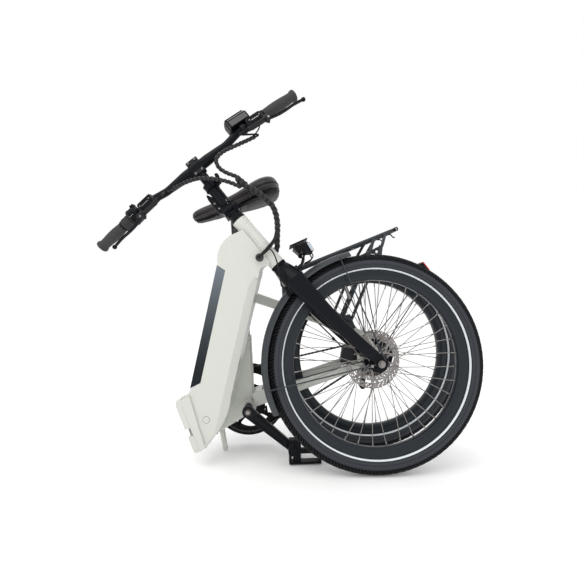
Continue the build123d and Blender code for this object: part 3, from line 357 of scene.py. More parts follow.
def through(points, step=4.0):
    """Smooth path through a few points, resampled about every step millimetres."""
    points = [Vector(p) for p in points]
    line = [points[0] * 2 - points[1]] + points + [points[-1] * 2 - points[-2]]
    path = []
    for index in range(1, len(line) - 2):
        a, b, c, d = line[index - 1:index + 3]
        count = max(2, int((c - b).length / step))
        for part in range(count):
            t = part / count
            path.append(0.5 * (2 * b + (c - a) * t + (2 * a - 5 * b + 4 * c - d) * t * t
                + (3 * b - a - 3 * c + d) * t ** 3))
    path.append(points[-1])
    return path


def ring(radius, count=48, x=0.0, y=0.0):
    """Closed circle as a list of points."""
    return [(x + radius * cos(2 * pi * i / count), y + radius * sin(2 * pi * i / count)) for i in range(count)]


def arc_through(a, b, c, count):
    """Points on the circle through three points, from a to c."""
    ax, ay, bx, by, cx, cy = *a, *b, *c
    d = 2 * (ax * (by - cy) + bx * (cy - ay) + cx * (ay - by))
    ux = ((ax * ax + ay * ay) * (by - cy) + (bx * bx + by * by) * (cy - ay) + (cx * cx + cy * cy)
        * (ay - by)) / d
    uy = ((ax * ax + ay * ay) * (cx - bx) + (bx * bx + by * by) * (ax - cx) + (cx * cx + cy * cy)
        * (bx - ax)) / d
    radius = hypot(ax - ux, ay - uy)
    start, end = atan2(ay - uy, ax - ux), atan2(cy - uy, cx - ux)
    middle = atan2(by - uy, bx - ux)
    while middle < start:
        middle += 2 * pi
    while end < start:
        end += 2 * pi
    if middle > end:
        end -= 2 * pi
    return [(ux + radius * cos(start + (end - start) * i / count),
        uy + radius * sin(start + (end - start) * i / count)) for i in range(count + 1)]


def bolt(piece, at, direction, radius, height):
    """Cap screw whose head stands on a point."""
    at, direction = Vector(at), Vector(direction).normalized()
    edge = at + direction * height * 0.8
    piece.rod(at, edge, radius, sides=20)
    piece.rod(edge, at + direction * height, radius, radius * 0.84, sides=20)


def screws(name, body, look, base, *bolts):
    """Piece made of cap screws alone, each given as its point, direction, radius and height."""
    piece = Piece(name, body, look, base)
    for each in bolts:
        bolt(piece, *each)
    piece.done()


# ---------------------------------------------------------------- wheels

WHEEL_R, TYRE_W, RIM_OUTER_R, RIM_INNER_R, RIM_W, TYRE_BEAD_R = 306, 54, 259.5, 231, 30, 256
SIDEWALL_R, WALL_ANGLE = 284.5, 79


def tyre_section():
    """Section of one side of the tyre from the rim to the middle of the tread, a little under its full size."""
    half, shoulder = TYRE_W / 2 - 0.4, WHEEL_R - TYRE_W / 2
    bead, flank = RIM_W / 2 - 2, RIM_OUTER_R + 0.3
    bulge = (flank + shoulder) / 2 - 2
    upper = arc_through((flank, bead), (bulge, half - 4), (shoulder, half), 14)
    crown = arc_through((shoulder, half), (WHEEL_R - 1.6, 0), (shoulder, -half), 44)
    return upper[:-1] + crown[:23]


def crown_point(angle, lift):
    """Point on the tread's round section at an angle from its middle."""
    reach = TYRE_W / 2 - 1.0 + lift
    return WHEEL_R - TYRE_W / 2 + reach * cos(radians(angle)), reach * sin(radians(angle))


def tread(piece, base, rows):
    """Tread blocks standing out of the round section, in rows of slanted bars."""
    verts, faces = [], []
    for low, high, count, share, stagger, slant in rows:
        pitch = 360 / count
        for index in range(count):
            start = (index + stagger) * pitch
            corners = []
            for lift in (-0.8, 0.95):
                shrink = 0.0 if lift < 0 else 0.06
                for section, turn in ((low, shrink), (high, shrink), (high, share - shrink),
                        (low, share - shrink)):
                    lean = slant * (section - (low + high) / 2) / abs(high - low)
                    radius, along = crown_point(section, lift)
                    angle = radians(start + (turn + lean) * pitch)
                    corners.append((radius * cos(angle), along, radius * sin(angle)))
            first = len(verts)
            verts += corners
            faces += [tuple(first + i for i in face) for face in ((4, 5, 6, 7), (0, 1, 5, 4), (1, 2, 6, 5),
                (2, 3, 7, 6), (3, 0, 4, 7))]
    piece.put(verts, faces, base)


def tyre(prefix, body, base):
    """Sidewalls, the dark tread band and its blocks, ribs on the walls and a reflective stripe."""
    side = tyre_section()
    wall = [p for p in side if p[0] <= SIDEWALL_R or p[1] > crown_point(WALL_ANGLE, -0.4)[1]]
    inner = [(TYRE_BEAD_R, RIM_W / 2 - 2)]
    walls = Piece(prefix + "_tyre_walls", body, "tyre", base)
    for hand in BOTH:
        outer = [(r, hand * y) for r, y in inner + wall]
        walls.lathe(outer + [(r - 1.5, y - hand * 5) for r, y in reversed(outer)], 160)
    walls.done(stands_for=(prefix + "_tyre",))
    band = Piece(prefix + "_tyre_band", body, "tread", base)
    rise = [crown_point(a, -0.5) for a in range(-WALL_ANGLE, WALL_ANGLE + 1, 5)]
    band.lathe(rise + [(r - 4, y * 0.86) for r, y in reversed(rise)], 160)
    band.done()
    blocks = Piece(prefix + "_tyre_blocks", body, "block", base)
    rows = [(-8, 8, 96, 0.62, 0.0, 0.0)]
    for hand in BOTH:
        rows += [(hand * 11, hand * 26, 96, 0.66, 0.5, 0.35), (hand * 29, hand * 44, 96, 0.6, 0.0, 0.45),
                 (hand * 47, hand * 60, 192, 0.55, 0.0, 0.6), (hand * 63, hand * 76, 192, 0.5, 0.4, 0.9)]
    tread(blocks, base, rows)
    blocks.done(smooth=30)
    stripe = Piece(prefix + "_tyre_stripe", body, "stripe", base)
    ribs = Piece(prefix + "_tyre_ribs", body, "tread", base)
    fine = arc_through((RIM_OUTER_R + 0.3, RIM_W / 2 - 2),
        ((RIM_OUTER_R + 0.3 + 279) / 2 - 2, TYRE_W / 2 - 4.4), (279, TYRE_W / 2 - 0.4), 120)
    for hand in BOTH:
        for piece, low, high, lift in ((stripe, 260.9, 264.7, 0.3), (ribs, 265.3, 266.0, 0.45),
                (ribs, 274.0, 274.6, 0.4)):
            part = [(r, hand * (y + lift)) for r, y in fine if low <= r <= high]
            piece.lathe(part + [(r, y - hand * 1.2) for r, y in reversed(part)], 160)
    stripe.done()
    ribs.done()


def rim(prefix, body, base):
    """Rim with a bulging flank below its lip, a dished bed, and the nipples and valve in it."""
    flank = [(RIM_OUTER_R, 11.5), (RIM_OUTER_R + 0.4, 14.2), (RIM_OUTER_R - 1.5, 14.9), (RIM_OUTER_R - 4, 14.2),
        (252, 14.6), (247, 14.9), (241, 14.4), (236, 13.0), (232.6, 10.8), (RIM_INNER_R + 0.2, 7.5),
        (RIM_INNER_R, 0)]
    whole = flank + [(r, -y) for r, y in reversed(flank[:-1])] + [(252, -8), (250, 0), (252, 8)]
    hoop = Piece(prefix + "_rim_hoop", body, "rim", base)
    hoop.lathe(whole, 144)
    hoop.done(smooth=30, stands_for=(prefix + "_rim",))
    nipples = Piece(prefix + "_nipples", body, "steel", base)
    for index in range(36):
        hand = 1 if index % 2 else -1
        angle = radians(360 * (index + 0.5) / 36)
        direction = Vector((cos(angle), hand * 0.04, sin(angle)))
        foot = Vector((RIM_INNER_R * cos(angle), hand * 2.5, RIM_INNER_R * sin(angle)))
        nipples.rod(foot + direction * 1.5, foot - direction * 11, 2.0, 1.7, sides=8)
    nipples.done()
    valve = Piece(prefix + "_valve", body, "steel", base)
    valve.rod((0, 0, RIM_INNER_R + 1), (0, 0, RIM_INNER_R - 26), 3.0, sides=12)
    valve.rod((0, 0, RIM_INNER_R - 1), (0, 0, RIM_INNER_R - 4), 5.0, sides=6)
    valve.rod((0, 0, RIM_INNER_R - 26), (0, 0, RIM_INNER_R - 40), 4.2, 3.6, sides=14)
    valve.done()


def rotor(name, body, base, y, node, bore):
    """Brake disc with a pierced track on six curved arms, and its six screws."""
    disc = Piece(name, body, "steel", base)
    turned, notch = shifted(base, (0, y, 0), 90, "X"), 0.9825
    outer = [(x, z) if i % 12 else (x * notch, z * notch) for i, (x, z) in enumerate(ring(80, 144))]
    outlines = [outer, ring(64, 96)]
    for index in range(36):
        for radius, size, lag in ((75.5, 1.9, 0), (71.8, 2.1, 3.4), (68, 1.7, 6.6)):
            angle = radians(index * 10 + lag)
            outlines.append(ring(size, 10, radius * cos(angle), radius * sin(angle)))
    disc.plate(outlines, 1.9, turned, 0.15)
    steps = (0, 0.25, 0.5, 0.75, 1)
    for index in range(6):
        arm = []
        for half, shares in ((3.2, steps), (-3.2, steps[::-1])):
            for share in shares:
                radius, angle = 24 + share * 42, radians(60 * index) + 0.42 * share
                arm.append((radius * cos(angle) - half * sin(angle), radius * sin(angle) + half * cos(angle)))
        disc.plate([arm], 1.8, turned, 0.1)
    disc.plate([ring(28, 60), ring(bore + 0.5, 48)], 2.0, turned, 0.2)
    disc.done(stands_for=(node,))
    reach = 25.3 if bore > 16 else 22
    turns = [radians(60 * index + 30) for index in range(6)]
    screws(name + "_screws", body, "dark_steel", base,
           *(((reach * cos(a), y + 0.8, reach * sin(a)), (0, 1, 0), 3.2, 2.4) for a in turns))


for prefix, base in (("rear", REAR), ("front", WHEEL)):
    tyre(prefix, prefix + "_wheel", base)
    rim(prefix, prefix + "_wheel", base)
rotor("rear_disc", "rear_wheel", REAR, 56, "rear_rotor", 22.2)
rotor("front_disc", "front_wheel", WHEEL, 38.5, "front_rotor", 15.2)

# ---------------------------------------------------------------- cables


def hose(name, body, points, radius, blend=None):
    """Round hose through points in the row frame, in millimetres."""
    line = Piece(name, body, "hose", Matrix.Identity(4))
    line.sweep(through(points, 3.5), radius, 10)
    line.done(smooth=60, blend=blend)


def wrapped(name, body, points, core, blend=None, pitch=15.0):
    """Bundle of cables held in a spiral wrap: the bundle and the flat band wound round it."""
    path = through(points, 1.5)
    bundle = Piece(name + "_core", body, "hose", Matrix.Identity(4))
    bundle.sweep(through(points, 4), core, 12)
    bundle.done(smooth=60, blend=blend)
    normals, binormals = frames_along(path)
    band = Piece(name + "_wrap", body, "wrap", Matrix.Identity(4))
    section = ((core - 0.3, -4.3), (core + 1.3, -3.6), (core + 1.5, 0), (core + 1.3, 3.6), (core - 0.3, 4.3))
    walked, last, verts = 0.0, path[0], []
    for centre, normal, binormal in zip(path, normals, binormals):
        walked += (centre - last).length
        last = centre
        angle = 2 * pi * walked / pitch
        out = normal * cos(angle) + binormal * sin(angle)
        along = normal.cross(binormal)
        for reach, slide in section:
            verts.append(centre + out * reach + along * slide)
    band.put(verts, skin(len(path), len(section)))
    band.done(smooth=50, blend=blend)


def row(base, point):
    """Millimetres in the row frame of a point given in a local frame."""
    return (base @ (Vector(point) * MM)) / MM


left_lever, right_lever = bar_end(1, 123), bar_end(-1, 166)
left_hose = row(left_lever, (32, 25, -74))
right_hose = row(right_lever, (32, -25, -74))
hose("left_brake_hose", "handlebar", [left_hose, row(left_lever, (33, 24, -98)), (-99, -96, 952),
    (-133.6, -95, 933.3)], 2.6)
hose("display_cable", "handlebar", [row(bar_end(1, 192), (14, 2, 14)), (-100, -108, 985), (-96, -108, 968),
    (-112, -98, 948), (-140, -95, 930)], 1.9)
wrapped("upper_loom", "handlebar", [(-108, -94, 947), (-133.6, -95, 933.3), (-164, -104, 914.2),
    (-196, -112, 894), (-213.8, -116, 872), (-209, -118, 850), (-190.1, -118, 834.8), (-157.1, -118, 821.7),
    (-132.2, -117, 803)], 4.6, pitch=12)
hose("right_brake_hose", "handlebar", [right_hose, row(right_lever, (33, -25, -96)), (-372, -72, 782),
    (-343.4, -75, 796.6)], 2.6)
hose("shifter_cable", "handlebar", [row(bar_end(-1, 160), (20, -12, 0)), row(bar_end(-1, 200), (30, -14, 0)),
    (-372, -62, 778), (-340, -75, 797)], 2.4)
wrapped("lower_loom", "handlebar", [(-356, -73, 789), (-343.4, -75, 796.6), (-306, -95, 808.5),
    (-264.6, -112, 816.5), (-219.8, -119, 815), (-178.7, -121, 805.9), (-148, -120, 794)], 4.6, pitch=12)
wrapped("main_loom_top", "handlebar", [(-157, -119, 819), (-143, -119, 803), (-122, -118, 792),
    (-104, -117, 783)], 7.2, blend=("post_slide", "handlebar", (-104, -117, 783), (-140, -119, 803)))
wrapped("main_loom_upper", "handlepost", [(-106, -117, 784.5), (-92, -117, 775.6), (-80, -116.5, 765),
    (-70, -116, 755)], 7.2, blend=("handlepost", "post_slide", (-72, -116, 756), (-104, -117, 783)))
wrapped("main_loom_middle", "steering", [(-71.5, -116, 756.5), (-58, -114.5, 743), (-50, -112, 725),
    (-46, -109.5, 708), (-44, -106, 690)], 7.2, blend=("steering", "handlepost", (-44, -106, 690),
    (-68, -115, 752)))
wrapped("main_loom_foot", "steering", [(-44.2, -106.5, 692), (-44, -102, 672), (-44.5, -97, 650),
    (-45, -88, 630), (-52, -72, 612)], 7.0, blend=("front_half", "steering", (-50, -76, 615), (-44, -104, 684)))
hose("frame_entry_left", "front_half", [(-50, -76, 616), (-58, -62, 603), (-74, -54, 597), (-88, -52, 594)],
    6.0)
for index, drop in enumerate((0, 4.6)):
    hose("frame_entry_%d" % index, "front_half", [(-45 - drop, -108, 668), (-50 - drop, -118, 650),
        (-66 - drop, -127, 625 + drop / 2), (-88 - drop, -131, 603), (-98 - drop, -125, 594)], 2.9,
        blend=("front_half", "steering", (-62, -126, 628), (-44, -108, 668)))
hose("front_brake_hose", "steering", [(-47, -111, 664), (-56, -124, 640), (-66, -133, 622), (-60, -140, 614),
    (-52, -146, 598), (-46, -149, 578), (-40, -151, 548), (-35.5, -150, 519)], 1.9)
hose("front_brake_hose_end", "steering", [(-35.5, -150, 519), row(STEER, (-30, -34, -78)),
    row(STEER, (-33, -8, -84)), row(STEER, (-31, 30, -92)), row(STEER, (-24, 58, -130)),
    row(STEER, (-16, 63, -220)), row(STEER, (-12, 60, -300)), row(STEER, (-22, 50, -345))], 2.2)
grommet = Piece("frame_grommet", "front_half", "rubber", FRONT)
grommet.lathe([(11.5, -37.2), (11.5, -39.4), (9.5, -40.6), (3, -40.6), (3, -37.2)], 32, (942, 0, 391))
grommet.lathe([(12, 37.2), (12, 39.4), (10, 40.6), (3, 40.6), (3, 37.2)], 32, (935, 0, 385))
grommet.done()
clip = Piece("hose_clips", "steering", "plastic", STEER)
clip.block((-34, -36, -84), (9, 12, 16), 8)
clip.block((-20, 61, -170), (8, 7, 9), 8)
clip.block((-14, 60, -270), (8, 7, 9), 8)
clip.done(bevel=1.2)

# ---------------------------------------------------------------- saddle


def saddle():
    """Padded saddle with a crowned tail, a dished middle and a slim nose, its seam and the tray under it."""
    stations = ((92, 22, 626, 604), (96, 50, 637, 596), (106, 78, 646, 590), (126, 96, 650, 587),
        (152, 100, 650, 586), (182, 91, 645, 586), (212, 73, 639, 586), (242, 56, 635, 587),
        (274, 43, 634, 588), (308, 34, 634, 589), (340, 29, 633, 590), (364, 25, 631, 592), (378, 18, 627, 596),
        (385, 8, 620, 602))
    pad = Piece("saddle_cushion", "saddle", "cover")
    count = 40
    verts = []
    for x, half, top, low in stations:
        dish = 2.0 if 130 < x < 300 else 0.3
        for index in range(count):
            angle = 2 * pi * index / count
            across, up = cos(angle), sin(angle)
            y = half * (abs(across) ** 0.82) * (1 if across >= 0 else -1)
            middle = low + (top - low) * 0.45
            z = middle + ((top - middle) * abs(up) ** 0.75 if up > 0 else -(middle - low) * abs(up) ** 0.8)
            if up > 0:
                z -= dish * max(0, 1 - (across / 0.5) ** 2) ** 2
            verts.append((x, y, z))
    pad.put(verts, skin(len(stations), count))
    cushion = pad.done(smooth=180, stands_for=("saddle_pad",))
    smooth = cushion.modifiers.new("round", "SUBSURF")
    smooth.levels = smooth.render_levels = 2
    seam = Piece("saddle_seam", "saddle", "plastic")
    for side in BOTH:
        edge = [(x, side * (half - 0.4), low + (top - low) * 0.43) for x, half, top, low in stations[1:-1]]
        seam.sweep(through([(92, side * 21, 614)] + edge + [(385, side * 7, 611)], 6), 1.1, 6)
    seam.done(smooth=60)
    tray = Piece("saddle_tray", "saddle", "plastic")
    verts = []
    for x, half, top, low in stations[1:-1]:
        verts += [(x, side * half * 0.86, low + 9) for side in BOTH]
        verts += [(x, side * half * 0.62, low - 1.5) for side in (1, -1)]
    tray.put(verts, skin(len(verts) // 4, 4))
    for side in BOTH:
        tray.sweep(through([(112, side * 60, 594), (150, side * 78, 591), (190, side * 68, 590),
            (240, side * 42, 590)], 5), 2.2, 8)
    tray.done(bevel=2, smooth=60)


saddle()

# ---------------------------------------------------------------- cockpit


def grip(side, length):
    """Rubber grip swelling under the palm, with a lock ring inboard and a plug in its end."""
    base = bar_end(side, length)
    profile = [(11.6, 0), (15.4, 0), (15.8, 2), (15.8, 7), (14.6, 9)]
    steps = 24
    for index in range(steps + 1):
        share = index / steps
        swell = 14.9 + 1.9 * sin(pi * min(1, share * 1.1)) ** 1.4
        profile.append((swell, 9 + share * (length - 18)))
    profile += [(17.6, length - 5), (18.2, length - 1.5), (17.6, length + 2), (15, length + 3.2),
        (11.6, length + 3.2)]
    hand = "left" if side > 0 else "right"
    body = Piece("grip_" + hand, "handlebar", "rubber", base)
    body.lathe(profile, 48, axis="Z")
    body.done(smooth=50, stands_for=("grips",))
    trim = Piece("grip_trim_" + hand, "handlebar", "plastic", base)
    trim.lathe([(16.2, 1.8), (16.6, 2.4), (16.6, 6.4), (16.2, 7)], 40, axis="Z")
    trim.lathe([(0.1, length + 4), (11.5, length + 3.8), (12.4, length + 2.6), (12.4, length - 3),
        (0.1, length - 3)], 32, axis="Z")
    trim.done(smooth=40)


def ball(piece, centre, radius):
    """Turned ball."""
    piece.lathe([(radius * sin(pi * i / 8) + 0.01, -radius * cos(pi * i / 8)) for i in range(9)], 16, centre,
        "Z", closed=False)


def brake_lever(side, distance, hand):
    """Hydraulic lever: clamp, reservoir with its lid, hose nut and a blade that ends in a ball."""
    base = bar_end(side, distance)
    body = Piece("lever_body_" + hand, "handlebar", "alloy", base)
    body.lathe([(11.3, -27), (15.6, -27), (16.4, -25.6), (16.4, -14.4), (15.6, -13), (11.3, -13)], 40, axis="Z")
    body.block((19, side * 5, -20), (14, 14, 13))
    body.block((31, side * 10, -35), (19, 22, 50), taper=0.88)
    body.lathe([(0.1, -70), (6.6, -70), (7, -68), (7, -60), (8.8, -58), (8.8, -6), (7.6, 0), (7, 4), (0.1, 5)],
        28, (32, side * 25, 0), "Z")
    body.block((35, side * 31, -1), (15, 12, 22), side * 45, "X")
    body.done(bevel=1.6, smooth=40, stands_for=("brake_lever_" + hand,))
    lid = Piece("lever_lid_" + hand, "handlebar", "plastic", base)
    lid.block((42, side * 10, -36), (3.4, 19, 42))
    lid.rod((32, side * 25, -70), (32, side * 25, -78), 5.6, sides=6)
    lid.rod((32, side * 25, -78), (32, side * 25, -88), 4.4, 3.2, sides=16)
    lid.rod((18, side * 5, -20), (18, side * 15, -20), 3.4, sides=18)
    lid.done(bevel=0.8)
    bright = Piece("lever_screws_" + hand, "handlebar", "steel", base)
    bright.block((44, side * 13, -36), (0.7, 2.0, 25))
    for z in (-53, -19):
        bolt(bright, (43.4, side * 10, z), (1, 0, 0), 2.0, 1.2)
    bright.rod((44.6, side * 31, -2), (26, side * 31, -2), 3.2, sides=16)
    bright.done()
    blade = Piece("lever_blade_" + hand, "handlebar", "black", base)
    line = through([(35, side * 32, 2), (43, side * 41, 26), (45, side * 43.5, 52), (45, side * 43, 80),
        (52, side * 49, 108)], 5)
    thinning = [3.4 - 0.9 * i / len(line) for i in range(len(line))]
    for shift in (3.4, -3.4):
        blade.sweep([p + Vector((shift, 0, 0)) for p in line], thinning, 12)
    for point in line[:6] + line[-5:]:
        blade.rod(point - Vector((3.6, 0, 0)), point + Vector((3.6, 0, 0)), 3.0, sides=12)
    ball(blade, (52, side * 49.5, 110), 6.6)
    blade.done(smooth=60)


def shifter():
    """Twist shifter: ribbed collar, round housing with a window whose white marks are partly a painted
    highlight, cable adjuster and clamp screw.
    """
    base = bar_end(-1, 98.3)
    ribs = Piece("shifter_collar", "handlebar", "rubber", base)
    ribs.lathe([(11.4, -27.6), (17.2, -27.6), (17.2, 0), (11.4, 0)], 48, axis="Z")
    for x, y in ring(17.1, 24):
        ribs.rod((x, y, -26), (x, y, -2), 1.1, sides=6)
    ribs.done(smooth=50, stands_for=("shifter",))
    house = Piece("shifter_housing", "handlebar", "plastic", base)
    house.lathe([(11.4, -60), (18, -60), (21.5, -58), (24, -54), (24.8, -50), (24.8, -37), (25.3, -36),
        (25.3, -31), (24.6, -29), (21, -28), (11.4, -28)], 56, axis="Z")
    house.block((17, -15, -52), (14, 16, 15))
    house.rod((20, -16, -56), (22, -17, -76), 5.4, 4.6, sides=20)
    house.rod((22, -17, -76), (23, -17.5, -84), 3.6, 2.8, sides=16)
    house.block((4, 23, -54), (16, 9, 12))
    house.done(bevel=0.7, smooth=40)
    # white marks of the gear window, set where a small highlight falls: partly real marks, partly painted
    # highlight
    window = Piece("shifter_window_marks_and_highlight", "handlebar", "white", base)
    for index in range(4):
        window.block((25.6, -3.6, -48.5 + index * 4), (0.5, 2.2, 0.8))
    window.done()
    rims = Piece("shifter_screws", "handlebar", "dark_steel", base)
    bolt(rims, (12, 24, -54), (1, 0.2, 0), 2.6, 2.2)
    rims.lathe([(25.5, -34.6), (25.9, -34.2), (25.9, -32.4), (25.5, -32)], 48, axis="Z")
    rims.done()


def display():
    """Display: dark glass towards the rider, the bezel round it, its clamp and its screws."""
    base = bar_end(1, 192)
    glass = Piece("display_glass", "handlebar", "gloss", base)
    glass.block((24.4, -20, 0), (1.4, 17, 58))
    glass.block((16.9, -37.1, 0), (1.4, 17, 56), -51, "Z")
    glass.done(bevel=0.5)
    bezel = Piece("display_bezel", "handlebar", "alloy", base)
    bezel.block((0, -43.2, 0), (26, 1.2, 62))
    for z in (33.4, -33.4):
        bezel.block((-10, -26, z), (28, 26, 1.2))
    bezel.lathe([(11.4, -7.4), (16.2, -7.4), (16.8, -6), (16.8, 6), (16.2, 7.4), (11.4, 7.4)], 36, axis="Z")
    bezel.done(bevel=0.5)
    screws("display_screws", "handlebar", "steel", base, ((-12, -10, 0), (-1, 0.4, 0), 2.8, 6),
           ((-2, -31, 34), (0, 0, 1), 1.8, 1.0), ((-2, -31, -34), (0, 0, -1), 1.8, 1.0))


grip(1, 121)
grip(-1, 98)
brake_lever(1, 123, "left")
brake_lever(-1, 166, "right")
shifter()
display()


def stem():
    """Face plate with four screws, the quick release of the telescopic tube and the latch of the hinge."""
    plate = Piece("stem_face_plate", "handlebar", "alloy", BAR)
    plate.block((15.6, 0, CLAMP_Z), (4.4, 35, 46))
    plate.lathe([(15.9, -17), (17.6, -16), (17.6, 16), (15.9, 17)], 48, (0, 0, CLAMP_Z), "Y")
    plate.done(bevel=1.5, smooth=40)
    corners = [(y, CLAMP_Z + z) for y in (-11, 11) for z in (-18, 18)]
    screws("stem_screws", "handlebar", "steel", BAR, *(((17, y, z), (1, 0, 0), 3.5, 3.2) for y, z in corners))
    # dark hexagons on the bright screw heads stand for the shade inside their sockets: painted shade
    socket_shade = Piece("stem_socket_shade", "handlebar", "dark_steel", BAR)
    for y, z in corners:
        socket_shade.rod((19, y, z), (20.4, y, z), 1.7, sides=6)
    socket_shade.done()
    collar = Piece("post_collar_trim", "handlepost", "plastic", POST)
    for low in (78, 94):
        collar.lathe([(21.4, low), (22.4, low + 0.8), (22.4, low + 3.2), (21.4, low + 4)], 48, axis="Z")
    collar.lathe([(17.4, 70), (18.3, 71), (18.3, 77), (17.4, 78)], 48, axis="Z")
    collar.lathe([(17.6, 17), (20, 17), (21.2, 19), (20, 22), (17.6, 24)], 48, axis="Z")
    collar.block((31, -24, 88), (2.4, 40, 8))
    collar.done(bevel=0.5, smooth=40)
    metal = Piece("post_release", "handlepost", "steel", POST)
    metal.rod((24, 9, 88), (24, 14, 88), 5.2, sides=20)
    metal.rod((24, -9, 88), (24, -11, 88), 4.2, sides=20)
    for x, y, z in ((-24, -4, 41), (-22, -4, 22)):
        metal.rod((x, y, z), (x, y - 1.8, z), 2.6, sides=16)
    metal.rod((-24, 12, 41), (-24, 13.8, 41), 2.6, sides=16)
    metal.rod((4, -18.4, 14), (8, -17.8, 28), 1.3, sides=10)
    metal.done(smooth=40)
    latch = Piece("post_latch_face", "handlepost", "alloy", POST)
    latch.block((-30.6, 4, 40), (1.6, 12, 50))
    latch.done(bevel=0.8)


stem()

# ---------------------------------------------------------------- head, lamp and fork


def head():
    """Seam and toothed stop of the head tube, and the round plugs low on the frame with their seams."""
    ridge = Piece("head_seam", "front_half", "frame", FRONT)
    ridge.sweep(through([(932, -28.4, 478), (944, -29.2, 440), (956, -29.2, 402), (961, -28, 384)], 6), 0.9, 8)
    ridge.done(smooth=60)
    stop = Piece("head_stop", "front_half", "rubber", FRONT)
    stop.block((899, 0, 491), (9, 15, 17), 18)
    for index in range(3):
        stop.block((893.8 - index * 1.6, 0, 497 - index * 5.4), (5, 13, 2.6), 18)
    stop.done(bevel=0.8)
    plugs = Piece("frame_plugs", "front_half", "frame", FRONT)
    seams = Piece("frame_plug_seams", "front_half", "rubber", FRONT)
    for side in BOTH:
        plug = ((0.1, 38.0), (8.6, 38.0), (9.6, 37.4), (9.6, 36.5), (0.1, 36.5))
        seam = ((9.6, 36.9), (9.6, 37.3), (10.4, 37.3), (10.4, 36.9))
        for piece, profile in ((plugs, plug), (seams, seam)):
            piece.lathe([(radius, side * out) for radius, out in profile], 36, (628, 0, 23))
    plugs.done(smooth=30)
    seams.done()


def lamp():
    """Lens, visor, bracket and pivot screws of the headlight."""
    glass = Piece("headlight_lens", "steering", "lens", STEER)
    glass.block((99.8, 0, -24.5), (9, 57.4, 27), 10.7)
    glass.done(bevel=1.6)
    shell = Piece("headlight_shell", "steering", "plastic", STEER)
    shell.block((83, 0, 6.6), (54, 52, 3.4), 16.4)
    shell.block((64, 0, -8), (5, 44, 22), -8)
    for side in BOTH:
        shell.rod((69, side * 28, -22), (69, side * 31, -22), 6.4, sides=24)
    shell.done(bevel=1.2)
    wire = Piece("headlight_bracket", "steering", "alloy", STEER)
    for side in BOTH:
        wire.sweep(through([(70, side * 27, -23), (66, side * 24, -36), (56, side * 13, -45),
            (40, side * 8, -47), (24, side * 7, -47)], 4), 2.1, 10)
        wire.sweep(through([(92, side * 20, -38), (88, side * 18, -50), (74, side * 12, -52),
            (58, side * 9, -48)], 4), 1.8, 10)
    wire.done(smooth=60)
    heads = Piece("headlight_screws", "steering", "dark_steel", STEER)
    for side in BOTH:
        bolt(heads, (69, side * 31, -22), (0, side, 0), 3.0, 1.8)
    heads.rod((29, -11, -44), (29, 11, -44), 3.4, sides=16)
    heads.done()


def axle_end(name, body, base, side, y, radius=8.0):
    """Axle nut with its washer and the thread standing out of it."""
    nut = Piece(name, body, "steel", base)
    nut.rod((0, side * y, 0), (0, side * (y + 1.6), 0), radius + 2, sides=32)
    nut.rod((0, side * (y + 1.6), 0), (0, side * (y + 8), 0), radius, sides=6)
    nut.rod((0, side * (y + 8), 0), (0, side * (y + 9), 0), radius * 0.86, radius * 0.8, sides=24)
    nut.done(smooth=25)


def dropouts():
    """Eyelet screws of the fork and the axle nuts of both wheels."""
    screws("fork_eyelet_screws", "steering", "steel", WHEEL,
        *(((-25, side * 57.4, 4.5), (0, side, 0), 4.4, 4.0) for side in BOTH))
    axle_end("fork_nut_left", "steering", WHEEL, -1, 61)
    axle_end("fork_nut_right", "steering", WHEEL, 1, 61)
    axle_end("rear_nut_left", "rear_half", REAR, 1, 75.6)
    axle_end("rear_nut_right", "rear_half", REAR, -1, 75.6)


head()
lamp()
dropouts()

# ---------------------------------------------------------------- rack, mudguards and reflector


def rack_details():
    """Pierced gusset plates, the hooks and rail sleeves at the tail, and the screws of the legs."""
    gusset = Piece("rack_gussets", "rear_half", "satin")
    for side in BOTH:
        side_plane = shifted(REAR, (0, side * 66, 0), 90, "X")
        outline = [(-76, 311), (-106, 315), (-140, 319), (-150, 325), (-146, 314), (-132, 288), (-120, 288),
            (-112, 300), (-96, 306), (-78, 307)]
        gusset.plate([outline, ring(4.6, 20, -121, 304)], 3.6, side_plane, 0.6)
    gusset.done(smooth=30)
    parts = Piece("rack_hooks", "rear_half", "plastic")
    for side in BOTH:
        parts.sweep(through([(-178, side * 52, 344), (-188, side * 52, 340), (-192, side * 52, 330),
            (-198, side * 52, 328)], 3), 2.0, 10)
        parts.lathe([(6.1, -1.6), (7.0, -1), (7.0, 8), (6.1, 9)], 24, (-206, side * 58, 350.6), "Y")
    parts.done(smooth=50)
    for_legs = [((65, side * 84.5, 138), (0, side, 0), 4.6, 3.6) for side in BOTH]
    for_plates = [((-136, side * 68, 318), (0, side, 0), 3.0, 2.4) for side in BOTH]
    screws("rack_screws", "rear_half", "steel", REAR, *for_legs, *for_plates)


def reflector():
    """Housing on the mudguard's tail with its red lens facing backwards."""
    house = Piece("reflector_housing", "rear_half", "plastic")
    verts = []
    for y in (-21, 21):
        verts += [(-246, y, 206), (-258, y, 217), (-270, y, 219), (-281, y, 186), (-272, y, 178)]
    house.put(verts, [(0, 1, 2, 3, 4), (9, 8, 7, 6, 5)] + [(i, (i + 1) % 5, (i + 1) % 5 + 5,
        i + 5) for i in range(5)])
    house.done(bevel=2.0, stands_for=("rear_reflector",))
    lens = Piece("reflector_lens", "rear_half", "red")
    lens.put([(-270, -20, 219.5), (-270, 20, 219.5), (-281, 20, 186.5), (-281, -20, 186.5),
              (-273.6, -20, 221), (-273.6, 20, 221), (-284.8, 20, 187.8), (-284.8, -20, 187.8)],
             [(0, 1, 2, 3), (7, 6, 5, 4), (0, 4, 5, 1), (1, 5, 6, 2), (2, 6, 7, 3), (3, 7, 4, 0)])
    lens.done(bevel=1.0)


